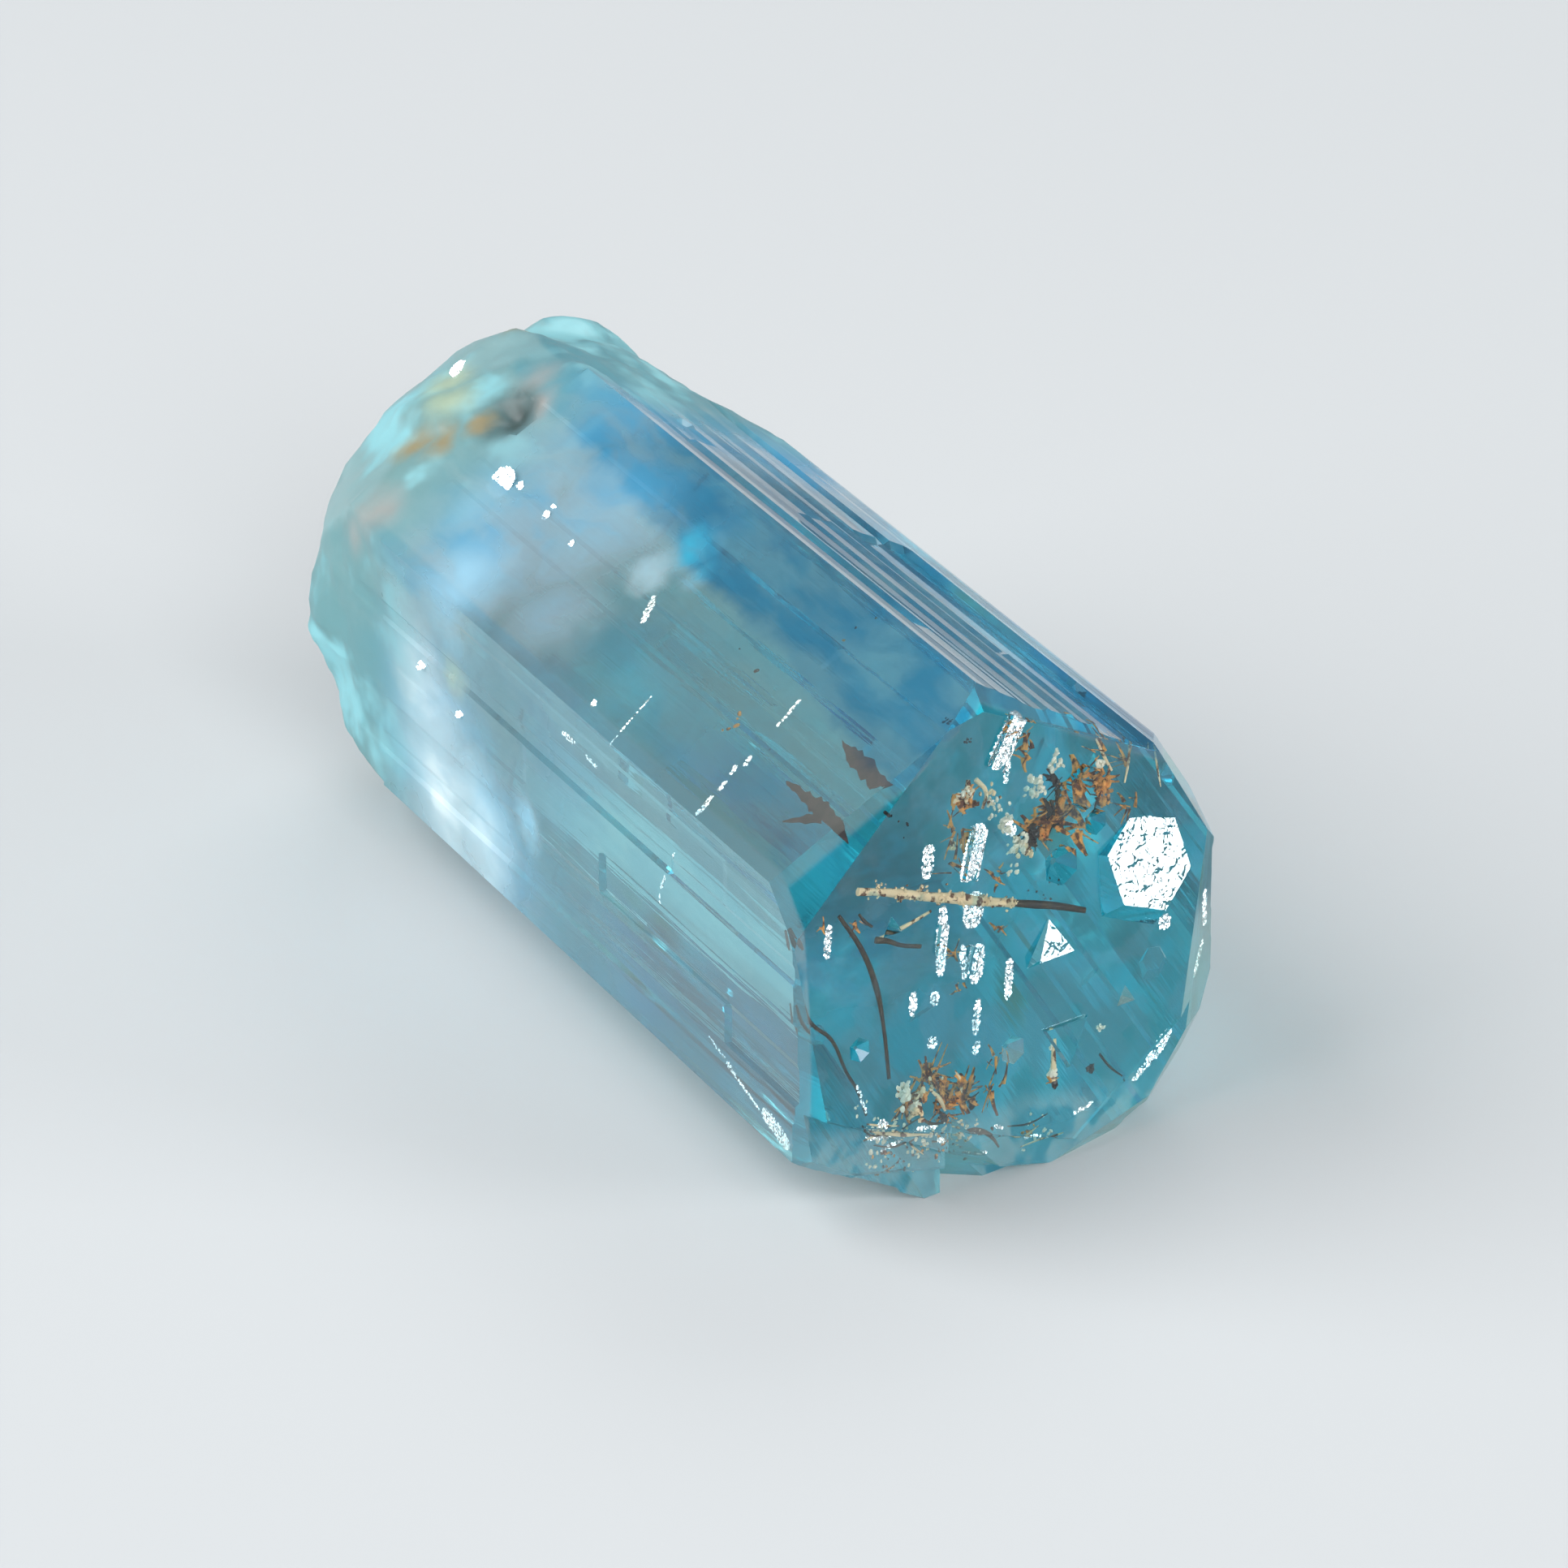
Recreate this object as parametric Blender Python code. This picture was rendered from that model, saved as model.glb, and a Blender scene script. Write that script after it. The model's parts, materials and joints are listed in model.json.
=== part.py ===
"""One loose aquamarine crystal: a six-sided beryl prism that lies on its side.

The crystal grew along +X. Its low end is the broken, lumpy root, its high end is the
termination: a tilted base face with bevels round it, growth plates on it and a chipped
rim. It rests on a worn corner of the prism, which is flat and lies in the plane z = 0.
Positions are first given round the crystal's own axis: x along the axis, and an angle
that is 0 at the top (+Z) and 90 at the side (+Y). The empty "growth_axis" then lifts the
whole crystal so that the middle of its footprint is the origin.
"""
import math
import random

import bmesh
import bpy
from mathutils import Matrix, Vector, noise

MM = 0.001

# Prism: each face's distance from the axis in mm, by the angle that the face looks at.
PRISM_FACES = {30: 4.15, 90: 4.62, 150: 4.62, 210: 4.25, 270: 4.20, 330: 4.20}
WORN_CORNERS = {60: 4.66, 120: 4.92, 180: 3.98}
CORNER_RADIUS = 4.18 / math.cos(math.radians(30))

# Growth strips along each prism face: how many, and how deep the deepest lies (mm).
STRIPS = {30: (9, 0.13), 90: (5, 0.05), 150: (5, 0.06), 210: (5, 0.06), 270: (8, 0.10), 330: (4, 0.025)}
RISER = 0.09
STRIP_SEED = 5
STRIP_ENDS = (-6.3, -3.2, -0.4, 2.1, 4.0)
STRIP_END_LENGTH = 0.16
STRIPS_FADE = (-10.8, -8.2)

# Root: rings from the broken tip to the full prism, as (x in mm, share of the full radius).
ROOT_RINGS = (
    (-13.30, 0.26), (-13.20, 0.44), (-12.98, 0.60), (-12.70, 0.715), (-12.35, 0.805), (-11.95, 0.87),
    (-11.50, 0.92), (-11.00, 0.955), (-10.40, 0.975), (-9.70, 0.990), (-8.90, 1.0),
)
ROOT_TIP = -13.24
ROOT_TIP_PLACE = (0.35, -0.25)
ROOT_ROUND_FROM = -9.0
ROOT_ROUNDING = 0.80
ROUND_RADIUS = CORNER_RADIUS * 0.93
ROOT_ROUGHNESS = 0.34
ROOT_GRAIN = 0.85
# The heel: where the broken end reaches furthest back, as (angle, spread in degrees, reach in mm).
ROOT_HEEL = (12, 38, 0.95)
# Lumps (and hollows, with a negative height) of the root: x, angle, height, reach (mm).
ROOT_LUMPS = (
    (-12.25, 26, 0.86, 0.85),
    (-12.10, 62, -0.30, 0.80),
    (-10.30, 66, -0.12, 1.00),
    (-12.70, 118, 0.55, 0.95),
    (-12.20, 170, -0.55, 0.90),
    (-12.60, 205, 0.45, 0.80),
    (-12.30, 262, 0.32, 1.05),
    (-12.90, 320, 0.25, 0.90),
    (-11.60, 298, -0.16, 0.70),
)
BEYOND_END = 8.6
SAME_POINT = 0.0005

# Base face: where it crosses the axis, how far it leans, and towards which angle.
BASE_X = 5.95
BASE_LEAN = 10.5
BASE_LEANS_TO = 48
# Bevels over the prism faces: angle, slope from the base face's normal, drop at the face (mm).
FACE_BEVELS = (
    (330, 49, 0.26), (30, 49, 0.20), (90, 34, 0.25), (150, 30, 0.36), (210, 44, 0.36), (270, 38, 0.22),
)
# Bevels over the prism corners, in the same way.
CORNER_BEVELS = (
    (0, 45, 0.30), (60, 70, 1.30), (120, 42, 0.30), (180, 42, 0.70), (240, 45, 0.50), (300, 45, 0.35),
)

# Plates and bars start this far below the base face; a plate's sides lean in by this slope.
ROOTED = 0.25
PLATE_SLOPE = 0.6
# Growth plates on the base face: y and z of the middle (mm), size, height, sides, turn, lean (degrees).
# Their tops lean, as stepped growth does, all towards one angle round the axis.
PLATES_LEAN_TO = 8
GROWTH_PLATES = (
    (2.98, 0.86, 1.02, 0.20, 6, 8, 14.5),
    (0.97, 0.00, 0.52, 0.14, 3, 0, 14.5),
    (3.10, -0.98, 0.30, 0.10, 6, 20, 14.5),
    (-1.70, -0.20, 0.34, 0.08, 3, 12, 14.5),
    (1.85, 2.55, 0.42, 0.09, 6, 0, 3.0),
    (1.20, -1.75, 0.55, 0.08, 3, 60, 3.0),
)
# Raised bars beside the hollow growth tubes: y and z of the two ends, width, height (mm).
GROWTH_BARS = (
    (0.55, 4.20, 0.02, 3.42, 0.30, 0.11),
    (-0.35, 2.50, -0.62, 1.66, 0.26, 0.10),
    (-1.18, 1.05, -1.30, 0.55, 0.16, 0.08),
    (-0.55, 0.45, -0.72, 0.02, 0.18, 0.08),
)
# Etch pits in the base face: y, z, half width, depth, sides (mm).
END_PITS = (
    (1.30, 1.32, 0.34, 0.22, 6),
    (2.05, 1.86, 0.22, 0.16, 6),
    (-2.20, 1.30, 0.20, 0.14, 3),
    (0.10, -1.62, 0.24, 0.20, 6),
    (2.50, -1.45, 0.20, 0.14, 3),
    (-3.00, -0.60, 0.20, 0.12, 6),
)
# Chipped steps at the rim: angle, distance from the axis where the step starts, depth (mm).
RIM_STEPS = (
    (200, 2.95, 0.13),
    (209, 3.30, 0.27),
    (194, 3.62, 0.46),
    (148, 3.78, 0.13),
)
STEP_BLOCK = (7.0, 3.0)
# The notch in the rim: a three-sided chip that leans out of the crystal.
NOTCH_ANGLE = 190
NOTCH_DISTANCE = 3.05
NOTCH_OUTWARD = 1.1
NOTCH_LEAN = -28
NOTCH_FLOOR = 0.42
NOTCH_MOUTH = 2.05
NOTCH_DEPTH = 1.7
# A pit's floor is this share of its mouth, and its cutter stands this far out of the face.
PIT_FLOOR = 0.18
CUTTER_CLEAR = 0.3
SIDE_PIT_STRETCH = 1.5
# Pits in the prism faces: x, face angle, place along the face, half width, depth (mm).
SIDE_PITS = (
    (-9.05, 330, 0.85, 0.46, 0.34),
    (-7.40, 30, -0.90, 0.26, 0.16),
    (-4.60, 90, 1.10, 0.30, 0.18),
    (1.30, 90, -0.70, 0.22, 0.14),
    (-6.20, 150, 0.50, 0.34, 0.20),
    (2.60, 210, 0.90, 0.24, 0.15),
    (-3.10, 210, -0.60, 0.30, 0.16),
)

AQUAMARINE = (0.36, 0.70, 0.78, 1.0)


def clear_scene():
    """Remove whatever the scene holds."""
    for old in list(bpy.data.objects):
        bpy.data.objects.remove(old, do_unlink=True)


def crystal_material():
    """Clear sea-blue beryl."""
    material = bpy.data.materials.new("aquamarine")
    material.use_nodes = True
    shader = material.node_tree.nodes["Principled BSDF"]
    shader.inputs["Base Color"].default_value = AQUAMARINE
    shader.inputs["Roughness"].default_value = 0.08
    shader.inputs["Metallic"].default_value = 0.0
    shader.inputs["IOR"].default_value = 1.575
    return material


def around(angle, distance=1.0):
    """The (y, z) point at an angle round the axis and a distance from it."""
    turn = math.radians(angle)
    return Vector((math.sin(turn), math.cos(turn))) * distance


def corner_between(face_a, face_b):
    """The (y, z) point where two faces, each (angle, distance), meet."""
    normal_a, normal_b = around(face_a[0]), around(face_b[0])
    cross = normal_a.x * normal_b.y - normal_a.y * normal_b.x
    y = (face_a[1] * normal_b.y - face_b[1] * normal_a.y) / cross
    z = (face_b[1] * normal_a.x - face_a[1] * normal_b.x) / cross
    return Vector((y, z))


def strip_share(x):
    """0 on the root, where the strips have worn away, rising to 1 on the prism."""
    fade_from, fade_to = STRIPS_FADE
    return min(max((x - fade_from) / (fade_to - fade_from), 0.0), 1.0)


class Strip:
    """One growth strip of a prism face: flush or sunk, with a ledge where it ends."""

    def __init__(self, start, end, depth, depth_past_ledge, ledge):
        self.start = start
        self.end = end
        self.depth = depth
        self.depth_past_ledge = depth_past_ledge
        self.ledge = ledge

    def inset(self, x):
        """How far the strip lies below the face at x."""
        return strip_share(x) * (self.depth if x < self.ledge else self.depth_past_ledge)


def strips_of(angle, rng):
    """The strips of one face, of uneven width; those at its edges stay flush."""
    count, deepest = STRIPS.get(angle, (1, 0.0))
    widths = [rng.uniform(0.5, 1.5) for _ in range(count)]
    total = sum(widths)
    strips = []
    start = 0.0
    for number, width in enumerate(widths):
        at_edge = number in (0, count - 1)
        depth = 0.0 if at_edge else rng.uniform(0.0, deepest)
        past_ledge = 0.0 if at_edge else rng.uniform(0.0, deepest)
        ledge = rng.choice(STRIP_ENDS)
        strips.append(Strip(start, start + width / total, depth, past_ledge, ledge))
        start += width / total
    return strips


def cross_section(faces, strips, x):
    """The crystal's outline at x: a closed list of (y, z) points."""
    points = []
    for number, face in enumerate(faces):
        before = faces[number - 1]
        after = faces[(number + 1) % len(faces)]
        start, end = corner_between(before, face), corner_between(face, after)
        inward = -around(face[0])
        riser = 0.5 * RISER * strip_share(x) / (end - start).length
        points.append(start)
        for left, right in zip(strips[face[0]], strips[face[0]][1:]):
            for strip, place in ((left, left.end - riser), (right, left.end + riser)):
                points.append(start.lerp(end, place) + inward * strip.inset(x))
    return points


def turn_between(angle, other):
    """The difference of two angles in degrees, from -180 to 180."""
    return (angle - other + 180) % 360 - 180


def shaped_root(point, x, share):
    """A point of the outline at x drawn in, rounded and made lumpy, as on the root."""
    depth = min(max((ROOT_ROUND_FROM - x) / (ROOT_ROUND_FROM - ROOT_TIP), 0.0), 1.0)
    rounding = ROOT_ROUNDING * depth ** 0.7
    radius = point.length * (1.0 - rounding) + ROUND_RADIUS * rounding
    radius *= share
    angle = math.degrees(math.atan2(point.x, point.y)) % 360
    for lump_x, lump_angle, height, reach in ROOT_LUMPS:
        across = math.radians(turn_between(angle, lump_angle)) * radius
        far = math.hypot(across, x - lump_x) / reach
        radius += height * math.exp(-far * far) * min(radius / ROUND_RADIUS, 1.0)
    grain = noise.noise(Vector((x, point.x, point.y)) * ROOT_GRAIN)
    radius += grain * ROOT_ROUGHNESS * math.sqrt(depth)
    heel_angle, spread, reach = ROOT_HEEL
    back = reach * share ** 2 * depth * math.exp(-(turn_between(angle, heel_angle) / spread) ** 2)
    shaped = point.normalized() * radius
    return Vector((x - back, shaped.x, shaped.y))


def prism_stations():
    """The x of every ring along the prism, with a close pair at each ledge."""
    stations = []
    for ledge in STRIP_ENDS:
        stations += [ledge - STRIP_END_LENGTH / 2, ledge + STRIP_END_LENGTH / 2]
    return stations + [BEYOND_END]


def build_prism():
    """The striated prism with its root, still without a termination."""
    rng = random.Random(STRIP_SEED)
    faces = sorted(list(PRISM_FACES.items()) + list(WORN_CORNERS.items()))
    strips = {angle: strips_of(angle, rng) for angle, _ in faces}
    mesh = bmesh.new()
    rings = []
    for x, share in ROOT_RINGS:
        outline = cross_section(faces, strips, x)
        rings.append([mesh.verts.new(shaped_root(point, x, share)) for point in outline])
    for x in prism_stations():
        outline = cross_section(faces, strips, x)
        rings.append([mesh.verts.new((x, point.x, point.y)) for point in outline])
    for ring, after in zip(rings, rings[1:]):
        for number in range(len(ring)):
            following = (number + 1) % len(ring)
            mesh.faces.new((ring[number], ring[following], after[following], after[number]))
    tip = mesh.verts.new((ROOT_TIP, *ROOT_TIP_PLACE))
    for number in range(len(rings[0])):
        mesh.faces.new((tip, rings[0][(number + 1) % len(rings[0])], rings[0][number]))
    mesh.faces.new(rings[-1])
    bmesh.ops.remove_doubles(mesh, verts=mesh.verts, dist=SAME_POINT)
    bmesh.ops.recalc_face_normals(mesh, faces=mesh.faces)
    return mesh


def base_normal():
    """The base face's outward normal."""
    lean = math.radians(BASE_LEAN)
    side = around(BASE_LEANS_TO, math.sin(lean))
    return Vector((math.cos(lean), side.x, side.y))


def on_base(y, z, above=0.0):
    """The point of the base face at (y, z), raised along the face's normal."""
    normal = base_normal()
    x = BASE_X - (normal.y * y + normal.z * z) / normal.x
    return Vector((x, y, z)) + normal * above


def base_frame(y, z, turn=0.0):
    """A frame on the base face: its third axis points out of the crystal."""
    third = base_normal()
    first = Vector((0.0, 1.0, 0.0))
    first = (first - third * first.dot(third)).normalized()
    second = third.cross(first)
    rotation = Matrix((first, second, third)).transposed().to_4x4()
    return Matrix.Translation(on_base(y, z)) @ rotation @ Matrix.Rotation(math.radians(turn), 4, "Z")


def cut(mesh, point, normal):
    """Cut the crystal flat by a plane, and close the cut with one face."""
    everything = list(mesh.verts) + list(mesh.edges) + list(mesh.faces)
    bmesh.ops.bisect_plane(
        mesh, geom=everything, dist=1e-5, plane_co=point, plane_no=normal, clear_outer=True)
    rim = [edge for edge in mesh.edges if edge.is_boundary]
    bmesh.ops.holes_fill(mesh, edges=rim)


def cut_bevel(mesh, angle, slope, distance, drop):
    """Cut one bevel of the termination, through a point below the base face."""
    slope = math.radians(slope)
    side = around(angle, math.sin(slope))
    place = around(angle, distance)
    through = on_base(place.x, place.y) - Vector((drop, 0.0, 0.0))
    cut(mesh, through, Vector((math.cos(slope), side.x, side.y)))


def cut_termination(mesh):
    """The base face, then the bevels over the prism's faces and corners."""
    cut(mesh, on_base(0.0, 0.0), base_normal())
    for angle, slope, drop in FACE_BEVELS:
        cut_bevel(mesh, angle, slope, PRISM_FACES[angle], drop)
    for angle, slope, drop in CORNER_BEVELS:
        cut_bevel(mesh, angle, slope, CORNER_RADIUS, drop)


def add_frustum(mesh, frame, sides, bottom, top, low, high):
    """Add a closed, tapering prism with its ends at two heights in a frame."""
    made = bmesh.ops.create_cone(
        mesh, cap_ends=True, segments=sides, radius1=bottom, radius2=top, depth=high - low)
    middle = Matrix.Translation((0.0, 0.0, (high + low) / 2))
    bmesh.ops.transform(mesh, matrix=frame @ middle, verts=made["verts"])


def add_block(mesh, frame, size, middle):
    """Add a closed block of a size, about a middle in a frame."""
    made = bmesh.ops.create_cube(mesh, size=1.0)
    place = frame @ Matrix.Translation(middle) @ Matrix.Diagonal((*size, 1.0))
    bmesh.ops.transform(mesh, matrix=place, verts=made["verts"])


def growth_mesh():
    """Plates and bars that stand proud of the base face, rooted below it."""
    mesh = bmesh.new()
    lean_to = around(PLATES_LEAN_TO)
    lean_axis = Vector((-lean_to.y, lean_to.x, 0.0))
    for y, z, size, height, sides, turn, lean in GROWTH_PLATES:
        frame = base_frame(y, z) @ Matrix.Rotation(math.radians(lean), 4, lean_axis)
        frame = frame @ Matrix.Rotation(math.radians(turn), 4, "Z")
        foot = size + ROOTED * PLATE_SLOPE
        add_frustum(mesh, frame, sides, foot, size - height * PLATE_SLOPE, -ROOTED, height)
    for y_a, z_a, y_b, z_b, width, height in GROWTH_BARS:
        start, end = on_base(y_a, z_a), on_base(y_b, z_b)
        frame = base_frame((y_a + y_b) / 2, (z_a + z_b) / 2)
        along = frame.to_3x3().inverted() @ (end - start)
        frame = frame @ Matrix.Rotation(math.atan2(along.y, along.x), 4, "Z")
        size = (along.length, width, height + ROOTED)
        add_block(mesh, frame, size, (0.0, 0.0, (height - ROOTED) / 2))
    return mesh


def wear_mesh():
    """What is missing from the crystal: etch pits, rim steps and the notch."""
    mesh = bmesh.new()
    for y, z, half_width, depth, sides in END_PITS:
        mouth = half_width * (1 + CUTTER_CLEAR / depth)
        add_frustum(mesh, base_frame(y, z), sides, half_width * PIT_FLOOR, mouth, -depth, CUTTER_CLEAR)
    for x, angle, along, half_width, depth in SIDE_PITS:
        side = around(angle)
        outward = Vector((0.0, side.x, side.y))
        lengthwise = Vector((1.0, 0.0, 0.0))
        across = outward.cross(lengthwise)
        rotation = Matrix((lengthwise, across, outward)).transposed().to_4x4()
        sideways = around(angle + 90, along)
        place = Vector((x, 0, 0)) + outward * PRISM_FACES[angle] + Vector((0, sideways.x, sideways.y))
        mouth = half_width * (1 + CUTTER_CLEAR / depth)
        frame = Matrix.Translation(place) @ rotation @ Matrix.Diagonal((SIDE_PIT_STRETCH, 1.0, 1.0, 1.0))
        add_frustum(mesh, frame, 6, half_width * PIT_FLOOR, mouth, -depth, CUTTER_CLEAR)
    return mesh


def rim_step_meshes():
    """One closed block for each chipped step, and a wedge for the notch."""
    meshes = []
    wide, tall = STEP_BLOCK
    for angle, distance, depth in RIM_STEPS:
        mesh = bmesh.new()
        place = around(angle, distance)
        frame = base_frame(place.x, place.y, 90 - angle)
        add_block(mesh, frame, (wide, wide, tall), (wide / 2, 0.0, tall / 2 - depth))
        meshes.append(mesh)
    mesh = bmesh.new()
    place = around(NOTCH_ANGLE, NOTCH_DISTANCE)
    frame = base_frame(place.x, place.y, 90 - NOTCH_ANGLE) @ Matrix.Translation((NOTCH_OUTWARD, 0.0, 0.0))
    frame = frame @ Matrix.Rotation(math.radians(NOTCH_LEAN), 4, "Y")
    add_frustum(mesh, frame, 3, NOTCH_FLOOR, NOTCH_MOUTH, -NOTCH_DEPTH, NOTCH_DEPTH)
    meshes.append(mesh)
    return meshes


def add_object(name, mesh, growth_axis):
    """Turn a bmesh in mm into an object in metres, carried by the growth axis."""
    bmesh.ops.scale(mesh, vec=(MM, MM, MM), verts=mesh.verts)
    bmesh.ops.recalc_face_normals(mesh, faces=mesh.faces)
    data = bpy.data.meshes.new(name)
    mesh.to_mesh(data)
    mesh.free()
    made = bpy.data.objects.new(name, data)
    bpy.context.scene.collection.objects.link(made)
    made.parent = growth_axis
    return made


def shape_with(crystal, name, mesh, operation, growth_axis):
    """Join a helper to the crystal, or cut it away, by a Boolean modifier."""
    helper = add_object(name, mesh, growth_axis)
    helper.hide_render = True
    helper.display_type = "WIRE"
    boolean = crystal.modifiers.new(name, "BOOLEAN")
    boolean.operation = operation
    boolean.solver = "EXACT"
    boolean.object = helper


def rest_on_floor(growth_axis, crystal):
    """Lift the axis so that the middle of the finished crystal's footprint is the origin."""
    bpy.context.view_layer.update()
    finished = crystal.evaluated_get(bpy.context.evaluated_depsgraph_get())
    corners = [finished.matrix_world @ vert.co for vert in finished.data.vertices]
    lows = [min(corner[axis] for corner in corners) for axis in range(3)]
    highs = [max(corner[axis] for corner in corners) for axis in range(3)]
    growth_axis.location = (-(lows[0] + highs[0]) / 2, -(lows[1] + highs[1]) / 2, -lows[2])


def main():
    """Build the crystal."""
    clear_scene()
    growth_axis = bpy.data.objects.new("growth_axis", None)
    bpy.context.scene.collection.objects.link(growth_axis)
    mesh = build_prism()
    cut_termination(mesh)
    crystal = add_object("aquamarine_crystal", mesh, growth_axis)
    crystal.data.materials.append(crystal_material())
    shape_with(crystal, "growth_plates", growth_mesh(), "UNION", growth_axis)
    shape_with(crystal, "etch_pits", wear_mesh(), "DIFFERENCE", growth_axis)
    for number, step in enumerate(rim_step_meshes()):
        shape_with(crystal, f"rim_step_{number}", step, "DIFFERENCE", growth_axis)
    rest_on_floor(growth_axis, crystal)


main()
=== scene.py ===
# %% [markdown]
# # A loose aquamarine crystal
#
# Aquamarine is the blue kind of beryl. This crystal is one six-sided prism, about 20 mm
# long. One end is its root, where it broke from the rock, lumpy, frosted and milky. The
# other end is clear, and its end face carries growth plates, pits and a chipped rim.
# Inside lie the guests that make it worth a close look: rusty growth tubes, tufts of iron
# oxide, dark flakes and white cracks.
#
# The prism is already there as a solid. This lesson gives it its fine surface, its
# materials and everything that shows inside, then lights it and aims the camera.

# %% Load the solid crystal
import json
import math
import random

import bmesh
import bpy
import numpy as np
from mathutils import Euler, Matrix, Vector
from mathutils.bvhtree import BVHTree

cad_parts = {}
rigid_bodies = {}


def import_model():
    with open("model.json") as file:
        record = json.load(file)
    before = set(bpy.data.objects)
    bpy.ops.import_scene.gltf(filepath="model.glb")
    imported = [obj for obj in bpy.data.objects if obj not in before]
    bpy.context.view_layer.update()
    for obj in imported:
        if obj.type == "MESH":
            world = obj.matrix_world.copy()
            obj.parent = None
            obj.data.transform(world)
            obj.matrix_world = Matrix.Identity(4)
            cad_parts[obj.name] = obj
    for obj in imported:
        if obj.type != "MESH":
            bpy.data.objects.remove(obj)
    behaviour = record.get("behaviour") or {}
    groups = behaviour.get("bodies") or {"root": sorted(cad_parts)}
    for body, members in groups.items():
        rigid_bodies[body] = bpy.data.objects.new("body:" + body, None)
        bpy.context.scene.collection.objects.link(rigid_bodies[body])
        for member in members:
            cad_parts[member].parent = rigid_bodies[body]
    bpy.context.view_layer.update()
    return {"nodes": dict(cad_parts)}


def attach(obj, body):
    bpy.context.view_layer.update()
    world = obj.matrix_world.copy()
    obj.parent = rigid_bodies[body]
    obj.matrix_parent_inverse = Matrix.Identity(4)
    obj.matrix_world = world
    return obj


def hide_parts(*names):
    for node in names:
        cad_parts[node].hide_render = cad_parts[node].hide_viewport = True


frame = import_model()
NODE = "aquamarine_crystal"
solid = frame["nodes"][NODE]
print("solid crystal:", len(solid.data.polygons), "triangles")

# %% [markdown]
# Lengths below are in millimetres, as a mineral collector would measure them, and one
# function turns them to Blender's metres. The crystal grew along its own axis, which lies
# level. Places are given round that axis: x along it, and an angle that is 0 at the top
# and 90 at the side.

# %% Millimetres, and the crystal's own axis
AXIS_POINT = Vector((3.3556, -0.1452, 3.9817)) / 1000.0


def mm(length):
    """Millimetres as metres."""
    return length / 1000.0


def around(angle, distance=1.0):
    """A vector square to the axis: angle 0 is up (+Z), and 90 is towards +Y."""
    turn = math.radians(angle)
    return Vector((0.0, math.sin(turn), math.cos(turn))) * distance


def on_axis(x):
    """The point of the axis at x mm."""
    return AXIS_POINT + Vector((mm(x), 0.0, 0.0))


print("axis point:", [round(value * 1000, 3) for value in AXIS_POINT], "mm")

# %% [markdown]
# The camera comes first, because the lights are placed by what the flat faces mirror to
# it. It stands off the end of the crystal, above it and to one side, with a long lens, so
# that the near end isn't swollen.

# %% Camera
LINE_OF_SIGHT = Vector((0.7660, -0.4301, 0.4777)).normalized()
DISTANCE = mm(145.0)
LENS = 194.5
AIM_LEFT = mm(0.75)
AIM_UP = mm(0.47)

camera_data = bpy.data.cameras.new("camera")
camera_data.lens = LENS
camera_data.sensor_width = 36.0
camera_data.clip_start = mm(5.0)
camera_data.clip_end = 20.0
camera = bpy.data.objects.new("camera", camera_data)
bpy.context.scene.collection.objects.link(camera)
camera.location = AXIS_POINT + LINE_OF_SIGHT * DISTANCE
to_right = Vector((0.0, 0.0, 1.0)).cross(LINE_OF_SIGHT).normalized()
to_top = LINE_OF_SIGHT.cross(to_right)
aim = AXIS_POINT - to_right * AIM_LEFT + to_top * AIM_UP
camera.rotation_euler = (camera.location - aim).to_track_quat("Z", "Y").to_euler()
bpy.context.scene.camera = camera
print("camera at", [round(value * 1000, 1) for value in camera.location], "mm")

# %% [markdown]
# A material is a small net of nodes. Three helpers make them: one turns a hex colour, as
# a paint chart gives it, into the linear values that Blender mixes; one adds a node with
# its settings and links; and one starts a material from its shader's own sockets. A
# pattern's scale comes from its real size, because Object coordinates are in metres.

# %% Colours, nodes and pattern scales
def srgb(hex_colour):
    """A hex sRGB colour as the linear RGBA that Blender's sockets take."""
    channels = [int(hex_colour[start:start + 2], 16) / 255 for start in (1, 3, 5)]
    linear = [c / 12.92 if c <= 0.04045 else ((c + 0.055) / 1.055) ** 2.4 for c in channels]
    return (*linear, 1.0)


def add_node(material, kind, settings=None, inputs=None):
    """Add one node, set its properties, and set or link its inputs."""
    node = material.node_tree.nodes.new(kind)
    for name, value in (settings or {}).items():
        setattr(node, name, value)
    for name, value in (inputs or {}).items():
        if isinstance(value, bpy.types.NodeSocket):
            material.node_tree.links.new(value, node.inputs[name])
        else:
            node.inputs[name].default_value = value
    return node


def new_material(name, inputs):
    """A material and its shader, with the shader's sockets set by name."""
    material = bpy.data.materials.new(name)
    material.use_nodes = True
    shader = material.node_tree.nodes["Principled BSDF"]
    for socket, value in inputs.items():
        shader.inputs[socket].default_value = value
    return material, shader


def per_size(size):
    """The scale of a noise pattern whose lumps are about this many mm wide."""
    return 1.0 / mm(size)

# %% [markdown]
# The studio is a sheet of matt paper under soft light. A glassy thing shows little but
# what it mirrors and what lies behind it, so the lights matter as much as the material:
# a large softbox behind the left shoulder lights the milky root, a small bright one at
# the side is what the growth plates mirror, two weak ones lift the end face and the back,
# and a pale sky fills the rest.

# %% Floor, sky and lights
def deselect():
    """Deselect everything, because an operator acts on all that is selected."""
    bpy.ops.object.select_all(action="DESELECT")


deselect()
bpy.ops.mesh.primitive_plane_add(size=3.0, location=(0.0, 0.0, 0.0))
floor = bpy.context.object
floor.name = "studio_floor"
paper, _ = new_material("matt_backdrop_paper", {"Base Color": srgb("#b9bcbe"), "Roughness": 0.9})
floor.data.materials.append(paper)

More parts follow.
